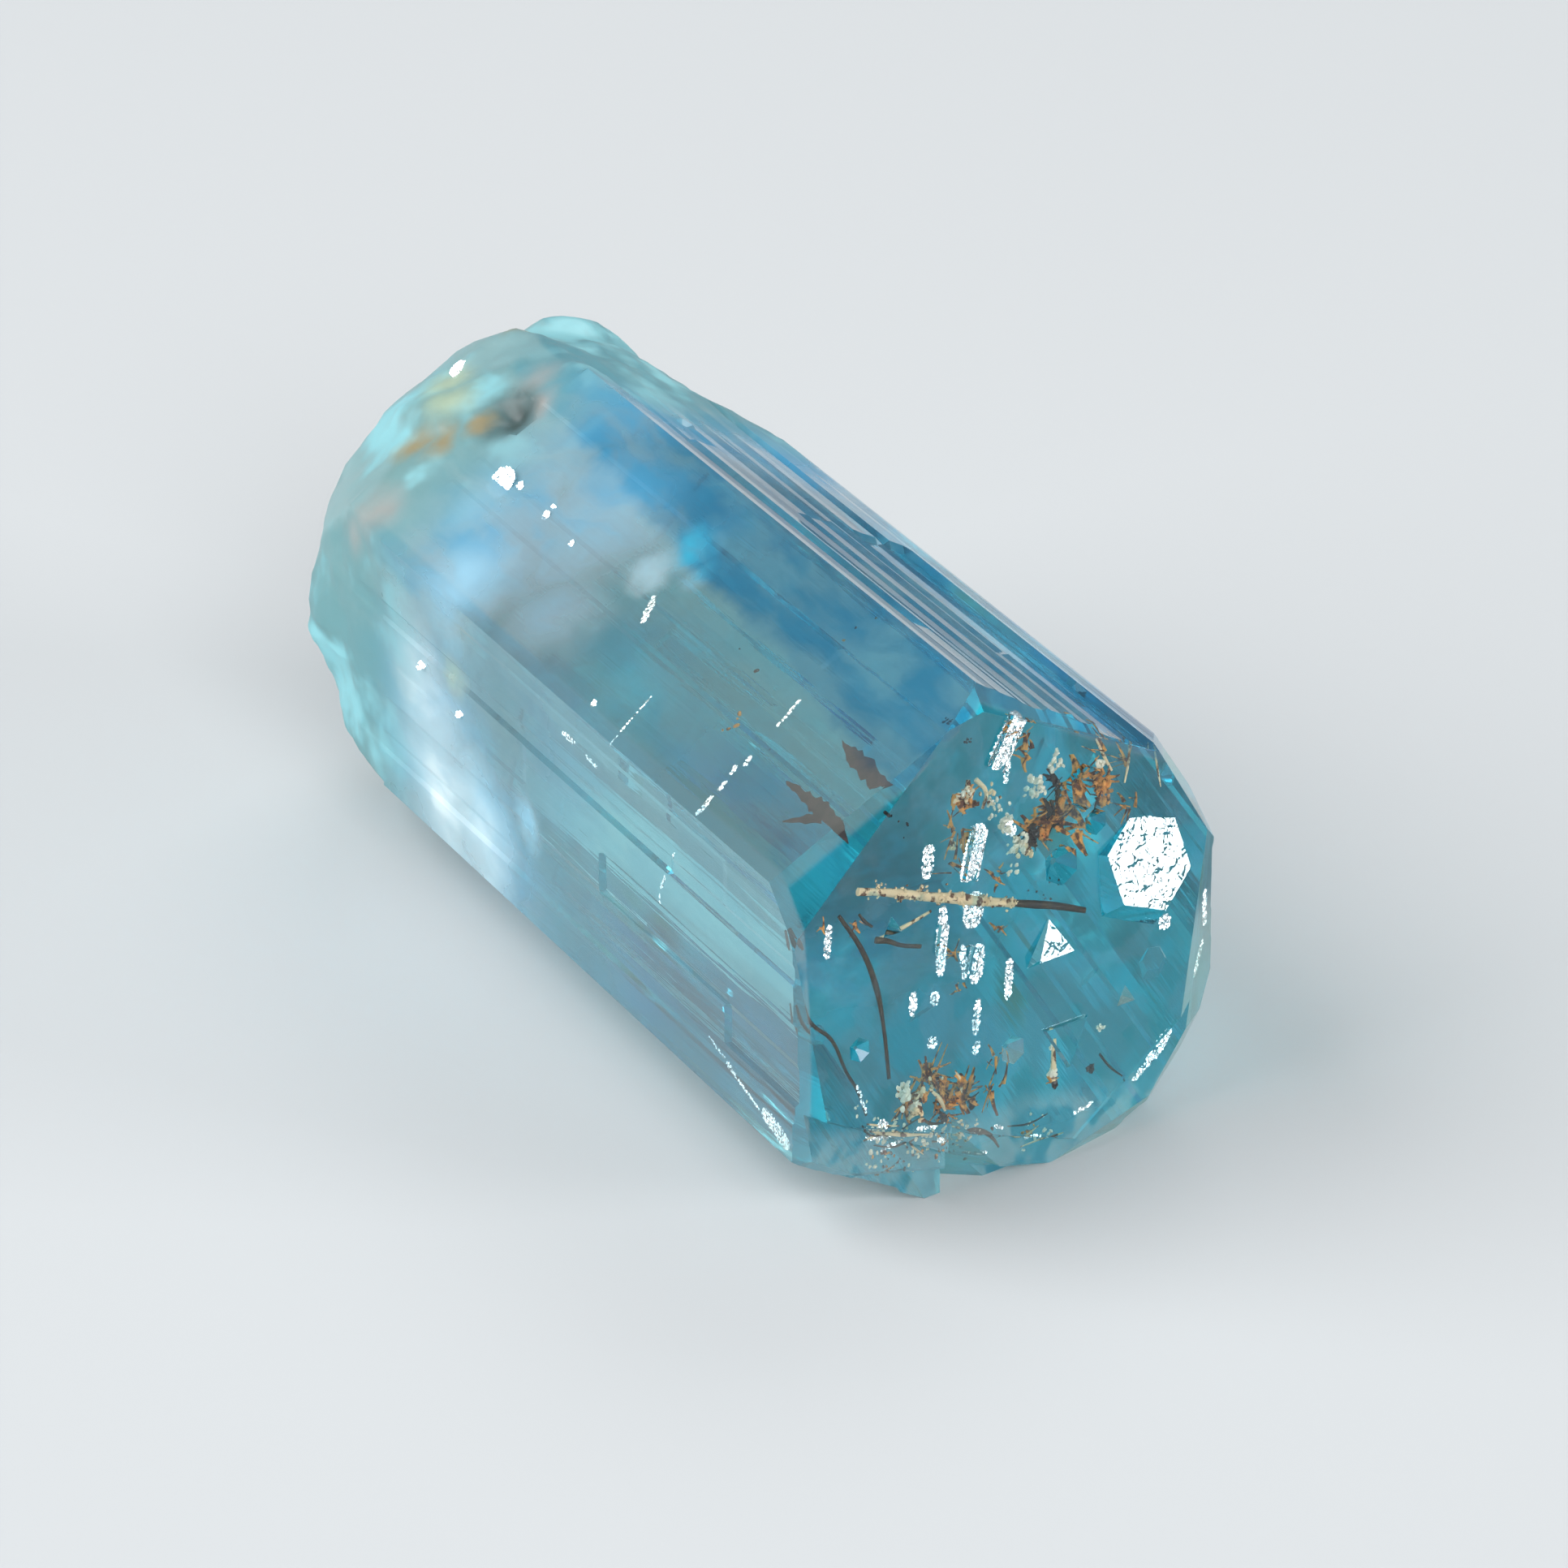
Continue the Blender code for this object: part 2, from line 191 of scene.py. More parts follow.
SKY_COLOUR = srgb("#e2e8ec")
SKY_STRENGTH = 0.33
world = bpy.data.worlds.new("studio")
world.use_nodes = True
world.node_tree.nodes["Background"].inputs["Color"].default_value = SKY_COLOUR
world.node_tree.nodes["Background"].inputs["Strength"].default_value = SKY_STRENGTH
bpy.context.scene.world = world
bpy.context.scene.view_settings.view_transform = "Standard"

KEY_LIGHT = Vector((-0.30, -0.75, 0.60)).normalized()
SIDE_LIGHT = Vector((0.70, 0.70, 0.10)).normalized()
BACK_LIGHT = Vector((-0.55, 0.60, 0.80)).normalized()
FRONT_LIGHT = Vector((0.85, -0.20, 0.60)).normalized()


def softbox(name, direction, distance, size, power):
    """A rectangular area light that looks at the crystal from a direction."""
    light_data = bpy.data.lights.new(name, "AREA")
    light_data.shape = "RECTANGLE"
    light_data.size, light_data.size_y = size
    light_data.energy = power
    light = bpy.data.objects.new(name, light_data)
    bpy.context.scene.collection.objects.link(light)
    light.location = AXIS_POINT + direction * distance
    light.rotation_euler = direction.to_track_quat("Z", "Y").to_euler()


# Each softbox: name, direction, distance (m), its two sides (m) and power (W).
for name, direction, distance, size, power in (
        ("key_softbox", KEY_LIGHT, 0.5, (0.50, 0.50), 3.7),
        ("side_softbox", SIDE_LIGHT, 0.4, (0.16, 0.16), 1.9),
        ("front_softbox", FRONT_LIGHT, 0.5, (0.25, 0.25), 1.5),
        ("back_softbox", BACK_LIGHT, 0.5, (0.30, 0.22), 0.6)):
    softbox(name, direction, distance, size, power)
    print(name, power, "W")

# %% [markdown]
# The body of the crystal starts as a copy of the solid. Its loose triangles are merged,
# and triangles that lie in one plane are joined to one face again, so that each crystal
# face is one flat face and mirrors as one.

# %% The crystal's body
deselect()
solid.select_set(True)
bpy.context.view_layer.objects.active = solid
bpy.ops.object.duplicate()
crystal = bpy.context.object
crystal.name = "aquamarine_body"
crystal.data.materials.clear()
bpy.ops.object.mode_set(mode="EDIT")
bpy.ops.mesh.select_all(action="SELECT")
bpy.ops.mesh.remove_doubles(threshold=1e-7)
bpy.ops.mesh.dissolve_limited(angle_limit=math.radians(0.3))
bpy.ops.object.mode_set(mode="OBJECT")
bpy.ops.object.shade_flat()
print("body:", len(crystal.data.polygons), "faces")

# %% [markdown]
# Beryl's prism faces are striated: fine lines run along the crystal, each the edge of a
# growth layer. They could be a bump in the material, but then the edge of the crystal and
# what shows through it would stay too smooth. So each line is two cuts with Bisect, a
# fiftieth of a millimetre apart, of which the second is pushed in. The strips between the
# lines then lean like the boards of a clad wall, most of all on the right-hand face.

# %% Striations
# Angle of a prism face, its distance from the axis, its width, lines and deepest line (mm).
PRISM_FACES = (
    (330, 4.20, 4.9, 9, 0.003),
    (30, 4.15, 4.6, 22, 0.036),
    (90, 4.62, 4.6, 12, 0.003),
    (150, 4.62, 4.6, 12, 0.003),
    (210, 4.25, 4.8, 12, 0.003),
    (270, 4.20, 4.9, 20, 0.008),
)
STEP_WIDTH = 0.02
ROOT_FROM = -8.6
SAME_WAY = math.cos(math.radians(12.0))


def select_faces(piece, wanted):
    """In edit mode, select just the faces that pass a test, and count them."""
    mesh = bmesh.from_edit_mesh(piece.data)
    count = 0
    for face in mesh.faces:
        face.select_set(False)
    for face in mesh.faces:
        if wanted(face):
            face.select_set(True)
            count += 1
    bmesh.update_edit_mesh(piece.data)
    return count


rng = random.Random(11)
line_count = 0
deselect()
crystal.select_set(True)
bpy.context.view_layer.objects.active = crystal
bpy.ops.object.mode_set(mode="EDIT")
bpy.ops.mesh.select_mode(type="EDGE")
for angle, distance, width, lines, deepest in PRISM_FACES:
    outward = around(angle)
    across = around(angle + 90)
    for number in range(lines):
        place = ((number + rng.uniform(0.25, 0.75)) / lines - 0.5) * width
        for step in (0.0, STEP_WIDTH):
            select_faces(crystal, lambda face: face.normal.dot(outward) > SAME_WAY)
            middle = AXIS_POINT + across * mm(place + step) + outward * mm(distance)
            bpy.ops.mesh.bisect(plane_co=middle, plane_no=across)
        depth = deepest * rng.uniform(0.5, 1.0)
        bpy.ops.transform.translate(value=outward * -mm(depth))
        line_count += 1
bpy.ops.object.mode_set(mode="OBJECT")
print("striations:", line_count, "lines,", len(crystal.data.polygons), "faces")

# %% [markdown]
# The root is a broken surface, worn in the ground: no flat faces, but lumps the size of a
# grain of sand with finer grit on them. Rings are cut round it, its faces are subdivided
# and smoothed, and a Displace modifier raises the lumps, weighted by a vertex group that
# fades out where the flat prism faces begin.

# %% The lumpy root
ROOT_RINGS = 9
ROOT_RING_STEP = 0.48
ROOT_SMOOTHINGS = 12
ROOT_FULL = -11.4
SMOOTH_FROM = ROOT_FROM - 0.15
# The size and height of the lumps, and of the grit on them (mm).
LUMPS = ((1.3, 0.30), (0.42, 0.09))
LUMP_LEVEL = 0.55

deselect()
crystal.select_set(True)
bpy.context.view_layer.objects.active = crystal
bpy.ops.object.mode_set(mode="EDIT")
for number in range(ROOT_RINGS):
    bpy.ops.mesh.select_all(action="SELECT")
    ring = on_axis(ROOT_FROM - number * ROOT_RING_STEP)
    bpy.ops.mesh.bisect(plane_co=ring, plane_no=(1.0, 0.0, 0.0))
bpy.ops.mesh.select_mode(type="FACE")
root_start = on_axis(ROOT_FROM).x
select_faces(crystal, lambda face: face.calc_center_median().x < root_start)
bpy.ops.mesh.quads_convert_to_tris(quad_method="BEAUTY", ngon_method="BEAUTY")
bpy.ops.mesh.subdivide(number_cuts=2)
select_faces(crystal, lambda face: face.calc_center_median().x < root_start)
bpy.ops.mesh.faces_shade_smooth()
select_faces(crystal, lambda face: face.calc_center_median().x < on_axis(SMOOTH_FROM).x)
bpy.ops.mesh.vertices_smooth(factor=0.5, repeat=ROOT_SMOOTHINGS)
bpy.ops.object.mode_set(mode="OBJECT")

root_group = crystal.vertex_groups.new(name="root")
for vertex in crystal.data.vertices:
    share = (root_start - vertex.co.x) / mm(ROOT_FROM - ROOT_FULL)
    if share > 0.0:
        root_group.add([vertex.index], min(share, 1.0), "REPLACE")
for number, (size, height) in enumerate(LUMPS):
    clouds = bpy.data.textures.new(f"root_lumps_{number}", "CLOUDS")
    clouds.noise_scale = mm(size)
    lumps = crystal.modifiers.new(f"lumps_{number}", "DISPLACE")
    lumps.texture = clouds
    lumps.texture_coords = "LOCAL"
    lumps.strength = mm(height)
    lumps.mid_level = LUMP_LEVEL
    lumps.vertex_group = "root"
    bpy.ops.object.modifier_apply(modifier=lumps.name)
print("with its root:", len(crystal.data.polygons), "faces")

# %% [markdown]
# Beryl is a glass-like mineral with an index of refraction of 1.575, so the body is a shader that
# transmits light, round a volume that absorbs. Iron in it takes the red light away and leaves sea blue:
# the deeper the path, the deeper the colour. It could be painted on the skin, but then thin and thick
# parts would be equally blue, so the clear stone's colour is in the volume, apart from a thin painted
# blue on the upper front face and the right face, which stands for the brighter blue that light through
# the stone shows there.

# %% Aquamarine: a clear skin round an absorbing volume
BERYL_IOR = 1.575
ABSORBS = srgb("#00ebf3")
ABSORPTION = 150.0

beryl, shader = new_material("aquamarine_beryl", {"IOR": BERYL_IOR})
links = beryl.node_tree.links
place = add_node(beryl, "ShaderNodeTexCoord").outputs["Object"]
xyz = add_node(beryl, "ShaderNodeSeparateXYZ", inputs={"Vector": place})
absorb = add_node(beryl, "ShaderNodeVolumeAbsorption", inputs={
    "Color": ABSORBS, "Density": ABSORPTION})
links.new(absorb.outputs["Volume"], beryl.node_tree.nodes["Material Output"].inputs["Volume"])
crystal.data.materials.append(beryl)

# %% [markdown]
# What takes the clearness away lies in or close under the skin, in layers over each other: a faint haze
# on the prism faces, with a painted blue on two of them, cloud towards the root, with a painted glow and
# a painted highlight among it, frost on the root, and stains in its hollows, where shade is painted too.
# Each layer has a mask, a colour and a cover, which is the share of the light that it scatters before
# the rest goes on into the crystal. The masks come from places on the crystal, pushed about by noise so
# that their edges are ragged. Milky stone also glows through: part of the light that falls on it comes
# out on its other side, so a share of a Translucent shader is mixed in, and the root lights the clear
# end from within.

# %% Where cloud, painted light, stains and painted shade lie
# Each layer: colour, cover, how its edges are pushed about, then its patches as x, angle,
# distance from the axis, reach (mm) and share.
CLOUD_AND_PAINTED_LIGHT_LAYERS = (
    ("#5cb3de", 0.80, "broad", (
        (-7.2, 262, 4.3, 3.6, 1.00), (-4.4, 248, 4.5, 2.6, 0.75), (-7.0, 318, 4.4, 3.6, 0.95),
        (-5.2, 337, 4.2, 2.7, 0.80), (-3.9, 312, 4.4, 1.7, 0.45), (-8.0, 5, 4.6, 4.2, 0.90),
        (-7.5, 40, 4.4, 3.9, 0.85), (-8.5, 105, 4.6, 4.4, 0.80), (-7.2, 180, 4.4, 4.8, 0.80))),
    ("#b3e0f6", 0.88, "fine", (
        (-6.2, 303, 4.6, 1.5, 0.90), (-7.6, 319, 4.3, 1.0, 0.60), (-4.8, 255, 4.3, 1.3, 0.90),
        (-3.1, 262, 4.2, 0.7, 0.90), (-2.9, 333, 4.2, 0.7, 0.50))),
    # Near white: a milky band, partly its own milky colour and partly a painted highlight where light
    # falls on the left side.
    ("#fafeff", 0.98, "fine", (
        (-7.3, 274, 4.2, 1.7, 1.00), (-6.8, 260, 4.3, 2.3, 1.00), (-6.2, 249, 4.4, 2.4, 1.00),
        (-4.9, 245, 4.6, 1.7, 0.95))),
    # Bright cyan: a painted glow, light bent through the stone and painted as colour.
    ("#46c8ea", 0.55, "fine", (
        (-2.7, 345, 4.3, 0.8, 0.90), (-2.0, 341, 4.2, 0.5, 0.60))),
)
STAIN_AND_PAINTED_SHADE_LAYERS = (
    ("#c8b9b2", 0.90, "fine", (
        (-9.5, 303, 4.5, 0.90, 0.75), (-9.9, 296, 4.4, 0.70, 0.60), (-8.7, 348, 4.4, 0.60, 0.80),
        (-9.4, 352, 4.4, 0.80, 0.60))),
    ("#d3dab4", 0.90, "fine", (
        (-10.5, 334, 4.2, 0.80, 0.75), (-11.3, 338, 4.0, 0.80, 0.75), (-5.9, 284, 4.3, 0.60, 0.50))),
    # Dark grey: painted shade, in the hollow on the front of the root and beside the knob.
    ("#46504c", 0.92, "fine", (
        (-9.10, 342, 4.2, 0.95, 1.00), (-11.9, 44, 3.7, 0.50, 0.70))),
    ("#c29a5e", 0.90, "fine", (
        (-9.45, 335, 4.1, 0.45, 0.75), (-9.75, 325, 4.2, 0.60, 0.75), (-10.25, 320, 4.1, 0.60, 0.75),
        (-11.7, 2, 4.3, 0.60, 0.85), (-10.9, 95, 4.4, 0.80, 0.70),
        (-12.6, 150, 3.0, 1.30, 0.80), (-11.4, 215, 3.9, 0.90, 0.80))),
)

print("patches of cloud and stain:", sum(len(layer[3]) for layer in CLOUD_AND_PAINTED_LIGHT_LAYERS + STAIN_AND_PAINTED_SHADE_LAYERS))

# %% [markdown]
# The masks are small sums of nodes. A place is pushed about by noise, a patch is the
# distance of that place from a centre, and a soft ramp turns a distance to a share. Each
# layer then mixes its colour and its cover over what lies below it.

# %% Masks from places
def warped_place(size, reach):
    """Object coordinates pushed about by noise, so that what they draw has ragged edges."""
    noise_node = add_node(beryl, "ShaderNodeTexNoise", inputs={
        "Vector": place, "Scale": per_size(size), "Detail": 3.0, "Roughness": 0.5})
    centred = add_node(beryl, "ShaderNodeVectorMath", {"operation": "SUBTRACT"}, {
        0: noise_node.outputs["Color"], 1: (0.5, 0.5, 0.5)})
    shift = add_node(beryl, "ShaderNodeVectorMath", {"operation": "SCALE"}, {
        0: centred.outputs["Vector"], "Scale": mm(reach)})
    moved = add_node(beryl, "ShaderNodeVectorMath", {"operation": "ADD"}, {
        0: place, 1: shift.outputs["Vector"]})
    return moved.outputs["Vector"]


def ramp(value, low, high, at_low=0.0, at_high=1.0):
    """A soft rise from one value to another while the input goes from low to high."""
    return add_node(beryl, "ShaderNodeMapRange", {"interpolation_type": "SMOOTHSTEP"}, {
        "Value": value, "From Min": low, "From Max": high,
        "To Min": at_low, "To Max": at_high}).outputs["Result"]


def math_node(operation, first, second):
    """One sum of two values."""
    return add_node(beryl, "ShaderNodeMath", {"operation": operation}, {0: first, 1: second}).outputs[0]


def out_along(angle, where=place):
    """How far a place lies from the axis in one direction round it, in metres."""
    towards = around(angle)
    reach = add_node(beryl, "ShaderNodeVectorMath", {"operation": "DOT_PRODUCT"}, {0: where, 1: towards})
    return math_node("SUBTRACT", reach.outputs["Value"], AXIS_POINT.dot(towards))


def patches(where, spots):
    """A mask from soft patches: each x, angle, distance, reach and share."""
    mask = 0.0
    for x, angle, distance, reach, share in spots:
        centre = on_axis(x) + around(angle, mm(distance))
        away = add_node(beryl, "ShaderNodeVectorMath", {"operation": "DISTANCE"}, {
            0: where, 1: centre})
        near = ramp(away.outputs["Value"], 0.0, mm(reach), share, 0.0)
        mask = math_node("MAXIMUM", near, mask)
    return mask


def add_layer(below, mask, hex_colour, cover):
    """Lay a layer over (colour, cover) sockets, and give the new pair."""
    colour = add_node(beryl, "ShaderNodeMix", {"data_type": "RGBA"}, {
        0: mask, 6: below[0], 7: srgb(hex_colour)})
    covers = add_node(beryl, "ShaderNodeMix", {"data_type": "FLOAT"}, {0: mask, 2: below[1], 3: cover})
    return colour.outputs[2], covers.outputs[0]


# Noise wide enough for wisps of cloud, and fine enough for the edge of a stain: size and
# reach in mm. Streaks, 0.8 mm wide, run along the crystal.
PUSHED = {"broad": warped_place(1.9, 1.5), "fine": warped_place(0.9, 0.75)}
STREAK_SIZE = 0.8
streak_place = add_node(beryl, "ShaderNodeMapping", inputs={
    "Vector": PUSHED["broad"], "Scale": (0.3, 1.0, 1.0)})
streaks = add_node(beryl, "ShaderNodeTexNoise", inputs={
    "Vector": streak_place.outputs["Vector"], "Scale": per_size(STREAK_SIZE), "Detail": 3.0})
streak_share = ramp(streaks.outputs["Fac"], 0.3, 0.65, 0.55, 1.0)

# %% [markdown]
# The clear half isn't quite clear. Its prism faces carry a faint grey haze, and the worn rim round the
# end face is greyer still. The upper part of the front face and the right face also get a thin painted
# blue, which stands for the brighter blue that light through the stone shows there. A face is told by
# how far out from the axis a place lies in the face's own direction, and the slanting bevels by the X of
# their normal.

# %% Haze and a painted blue on the faces, and the rim
# Where each prism face's skin begins, out from the axis, and where the end's skin begins
# along it (mm).
SKIN_FROM = {330: 3.98, 30: 3.86, 270: 3.92}
SKIN_FADE = 0.10
END_FROM = 4.0
END_FADE = 0.6
UPPER_SLOPE = 0.09


def on_face(angle):
    """A mask for one prism face: the places far enough out from the axis."""
    return ramp(out_along(angle), mm(SKIN_FROM[angle]), mm(SKIN_FROM[angle] + SKIN_FADE))


slope = math_node("MULTIPLY", xyz.outputs["X"], UPPER_SLOPE)
across_front = math_node("ADD", out_along(60, PUSHED["fine"]), slope)
upper = ramp(across_front, mm(0.75), mm(1.15))
front_face = on_face(330)
right_face = on_face(30)
left_face = on_face(270)
hazy = math_node("MULTIPLY", math_node("MAXIMUM", front_face, left_face), streak_share)
hazy_left = math_node("MULTIPLY", left_face, streak_share)
painted_blue_faces = math_node("MAXIMUM", math_node("MULTIPLY", front_face, upper), right_face)
painted_blue_tone = math_node("MULTIPLY", painted_blue_faces, streak_share)
normal = add_node(beryl, "ShaderNodeNewGeometry").outputs["Normal"]
normal_x = add_node(beryl, "ShaderNodeSeparateXYZ", inputs={"Vector": normal}).outputs["X"]
at_end = ramp(xyz.outputs["X"], on_axis(END_FROM).x, on_axis(END_FROM + END_FADE).x)
on_bevel = math_node("MULTIPLY", ramp(normal_x, 0.25, 0.40), ramp(normal_x, 0.96, 0.90))
bevel_rim = math_node("MULTIPLY", on_bevel, ramp(out_along(165), mm(1.2), mm(2.0)))
low_rim = math_node("MULTIPLY", at_end, ramp(out_along(188), mm(2.30), mm(2.95), 0.0, 0.5))
rim = math_node("MULTIPLY", math_node("MAXIMUM", bevel_rim, low_rim), streak_share)
on_end = math_node("MULTIPLY", at_end, ramp(normal_x, 0.90, 0.96))
mottled = math_node("MULTIPLY", on_end, ramp(streaks.outputs["Fac"], 0.48, 0.62))
skin_layers = (srgb("#ffffff"), 0.0)
for mask, hex_colour, cover in (
        (hazy, "#cfd4cd", 0.11),
        (hazy_left, "#a3bec6", 0.20),
        # A thin painted blue on the upper front face and the right face, for the brighter blue that
        # light through the stone shows there.
        (painted_blue_tone, "#4f92ba", 0.13),
        (rim, "#a9c4bb", 0.28),
        (mottled, "#b6e4ee", 0.03)):
    skin_layers = add_layer(skin_layers, mask, hex_colour, cover)
print("haze on", len(beryl.node_tree.nodes), "nodes")

# %% [markdown]
# Over the haze come the clouds with their painted glow and painted highlight, then the frost of the
# broken root in two tones, then the stains and the painted shade that lie in its hollows. At last the
# two results go to the shader: the colour as it is, and the cover as what it takes from the transmission
# and adds to the roughness. Part of a thick layer's light goes on through it, so the root glows into the
# clear end.

# %% Cloud, painted light, frost, stain and painted shade
GLOW_SHARE = 0.38
GLOWS_AT = (0.20, 0.85)
ROUGH_AT = (0.22, 0.85)
POLISHED = 0.03
FROSTED = 0.38
CLEAR_FROM = -6.4
FROST_FROM = -9.6
FROST_RAGGED = 2.0
FROST_LUMP = 1.6

for hex_colour, cover, push, spots in CLOUD_AND_PAINTED_LIGHT_LAYERS:
    cloud_and_painted_light = math_node("MULTIPLY", patches(PUSHED[push], spots), streak_share)
    skin_layers = add_layer(skin_layers, cloud_and_painted_light, hex_colour, cover)

ragged = add_node(beryl, "ShaderNodeTexNoise", inputs={
    "Vector": place, "Scale": per_size(FROST_LUMP), "Detail": 3.0})
ragged_x = add_node(beryl, "ShaderNodeMath", {"operation": "MULTIPLY_ADD"}, {
    0: ragged.outputs["Fac"], 1: mm(FROST_RAGGED), 2: xyz.outputs["X"]})
frost = ramp(
    ragged_x.outputs[0], on_axis(FROST_FROM + FROST_RAGGED / 2).x,
    on_axis(CLEAR_FROM + FROST_RAGGED / 2).x, 1.0, 0.0)
skin_layers = add_layer(skin_layers, math_node("MULTIPLY", frost, 0.75), "#7aaeae", 0.86)
skin_layers = add_layer(
    skin_layers, math_node("MULTIPLY", frost, ramp(ragged.outputs["Fac"], 0.45, 0.62)), "#a6e0e6", 0.90)
for hex_colour, cover, push, spots in STAIN_AND_PAINTED_SHADE_LAYERS:
    skin_layers = add_layer(skin_layers, patches(PUSHED[push], spots), hex_colour, cover)
links.new(skin_layers[0], shader.inputs["Base Color"])
glow_through = add_node(beryl, "ShaderNodeBsdfTranslucent", inputs={"Color": skin_layers[0]})
lets_through = add_node(beryl, "ShaderNodeMixShader", inputs={
    0: math_node("MULTIPLY", ramp(skin_layers[1], *GLOWS_AT), GLOW_SHARE),
    1: shader.outputs["BSDF"], 2: glow_through.outputs["BSDF"]})
links.new(lets_through.outputs["Shader"], beryl.node_tree.nodes["Material Output"].inputs["Surface"])
links.new(math_node("SUBTRACT", 1.0, skin_layers[1]), shader.inputs["Transmission Weight"])
rough = ramp(skin_layers[1], *ROUGH_AT, POLISHED, FROSTED)
print("nodes in the crystal's material:", len(beryl.node_tree.nodes))

# %% [markdown]
# Two reliefs are too fine to model. Hair-fine growth lines, stretched twenty-five times
# along the crystal, cover the prism's sides, but not the end face, which the normal's X
# tells apart. And the tilted growth plates on the end face are finely pitted, so they
# glitter rather than mirror. Both go into one Bump node, whose Distance is their depth.

# %% Growth lines and pitted plates
PLATE_TILT = (LINE_OF_SIGHT + SIDE_LIGHT).normalized()
PLATE_WITHIN = (math.cos(math.radians(5.0)), math.cos(math.radians(3.0)))
RELIEF = mm(0.03)
PIT_SIZE = 0.22
PIT_SHARE = 1.2
GROWTH_LINE = 0.14
GROWTH_STRETCH = 0.04
GROWTH_SHARE = 0.12

stretched = add_node(beryl, "ShaderNodeMapping", inputs={
    "Vector": place, "Scale": (GROWTH_STRETCH, 1.0, 1.0)})
growth = add_node(beryl, "ShaderNodeTexNoise", inputs={
    "Vector": stretched.outputs["Vector"], "Scale": per_size(GROWTH_LINE), "Detail": 2.0})
on_side = ramp(math_node("ABSOLUTE", normal_x, 0.0), 0.2, 0.5, GROWTH_SHARE, 0.0)
growth_share = math_node("MULTIPLY", growth.outputs["Fac"], on_side)
plate = add_node(beryl, "ShaderNodeVectorMath", {"operation": "DOT_PRODUCT"}, {
    0: normal, 1: PLATE_TILT})
tilted_there = ramp(plate.outputs["Value"], *PLATE_WITHIN)
on_plate = math_node("MULTIPLY", tilted_there, at_end)
pitted = add_node(beryl, "ShaderNodeTexNoise", inputs={
    "Vector": place, "Scale": per_size(PIT_SIZE), "Detail": 2.0, "Roughness": 0.5})
pits = math_node("MULTIPLY", math_node("MULTIPLY", pitted.outputs["Fac"], on_plate), PIT_SHARE)
height = math_node("ADD", growth_share, pits)
relief = add_node(beryl, "ShaderNodeBump", inputs={
    "Strength": 1.0, "Distance": RELIEF, "Height": height})
links.new(relief.outputs["Normal"], shader.inputs["Normal"])

links.new(rough, shader.inputs["Roughness"])
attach(crystal, "root")
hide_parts(NODE)

# %% [markdown]
# What lies inside is seen through a flat face, which bends the line of sight. So that a
# guest shows where it should, its place is given on the face, in mm, and then as a depth
# along the bent line. Snell's law gives the bend. Bright films need one thing more: the
# tilt at which they mirror a light to the eye, which is half way between the bent line
# of sight and the bent ray of the light.

# %% Places under a face
BASE_X = 5.95
BASE_LEAN = math.radians(10.5)
BASE_NORMAL = (Vector((math.cos(BASE_LEAN), 0, 0)) + around(48, math.sin(BASE_LEAN))).normalized()
FRONT = 330
LEFT = 270
FACE_DISTANCE = {angle: distance for angle, distance, *_ in PRISM_FACES}
# Two small plates of the end face are all but flush with it: their (y, z), and how far
# round them (mm) the corners sink by this share of their height.
FLUSH_PLATES = ((3.10, -0.98), (-1.70, -0.20))
FLUSH_REACH = 0.40
FLUSH_SHARE = 0.90


def bent(ray, normal):
    """A ray that goes into the crystal, after a face has bent it (Snell's law)."""
    cosine = -normal.dot(ray)
    ratio = 1.0 / BERYL_IOR
    inner = math.sqrt(1.0 - ratio ** 2 * (1.0 - cosine ** 2))
    return (ray * ratio + normal * (ratio * cosine - inner)).normalized()


def end_x(y, z):
    """Where the end face lies along the axis at (y, z), all in mm."""
    return BASE_X - (BASE_NORMAL.y * y + BASE_NORMAL.z * z) / BASE_NORMAL.x


def under_end(y, z, depth=0.0):
    """A point under the end face: (y, z) on it, then this deep along the line of sight."""
    point = AXIS_POINT + Vector((mm(end_x(y, z)), mm(y), mm(z)))
    return point + bent(-LINE_OF_SIGHT, BASE_NORMAL) * mm(depth)


def under_side(angle, x, along, depth=0.0):
    """A point under a prism face: x and the place across it, then this deep."""
    point = on_axis(x) + around(angle, mm(FACE_DISTANCE[angle])) + around(angle + 90, mm(along))
    return point + bent(-LINE_OF_SIGHT, around(angle)) * mm(depth)


def mirror_tilt(face_normal, light):
    """The normal of a film under a face that mirrors a light to the eye."""
    seen = bent(-LINE_OF_SIGHT, face_normal)
    lit = bent(-light, face_normal)
    return -(seen + lit).normalized()


for vertex in crystal.data.vertices:
    x, y, z = (vertex.co - AXIS_POINT) * 1000.0
    near = [math.hypot(y - plate_y, z - plate_z) < FLUSH_REACH for plate_y, plate_z in FLUSH_PLATES]
    if x > END_FROM and any(near):
        vertex.co.x -= mm((x - end_x(y, z)) * FLUSH_SHARE)
bpy.context.view_layer.update()
skin = BVHTree.FromObject(crystal, bpy.context.evaluated_depsgraph_get())
PROBE = Vector((0.11, 0.23, 1.0)).normalized()
SETTLE_STEPS = 25
SETTLE_STEP = mm(0.1)
JUST_PAST = 1e-7


def inside(point, clearance):
    """Whether a point is inside: a line from it crosses the skin an odd number of times."""
    if skin.find_nearest(point)[3] < mm(clearance):
        return False
    crossings, start = 0, point
    while start is not None:
        start = skin.ray_cast(start, PROBE)[0]
        if start is not None:
            crossings += 1
            start = start + PROBE * JUST_PAST
    return crossings % 2 == 1


def settled(point, way, clearance=0.06):
    """A point moved along its line of sight until it lies in the crystal."""
    for _ in range(SETTLE_STEPS):
        if inside(point, clearance):
            break
        point = point + way * SETTLE_STEP
    return point


END_SIGHT = bent(-LINE_OF_SIGHT, BASE_NORMAL)
print("bent line under the end face:", [round(value, 3) for value in END_SIGHT])

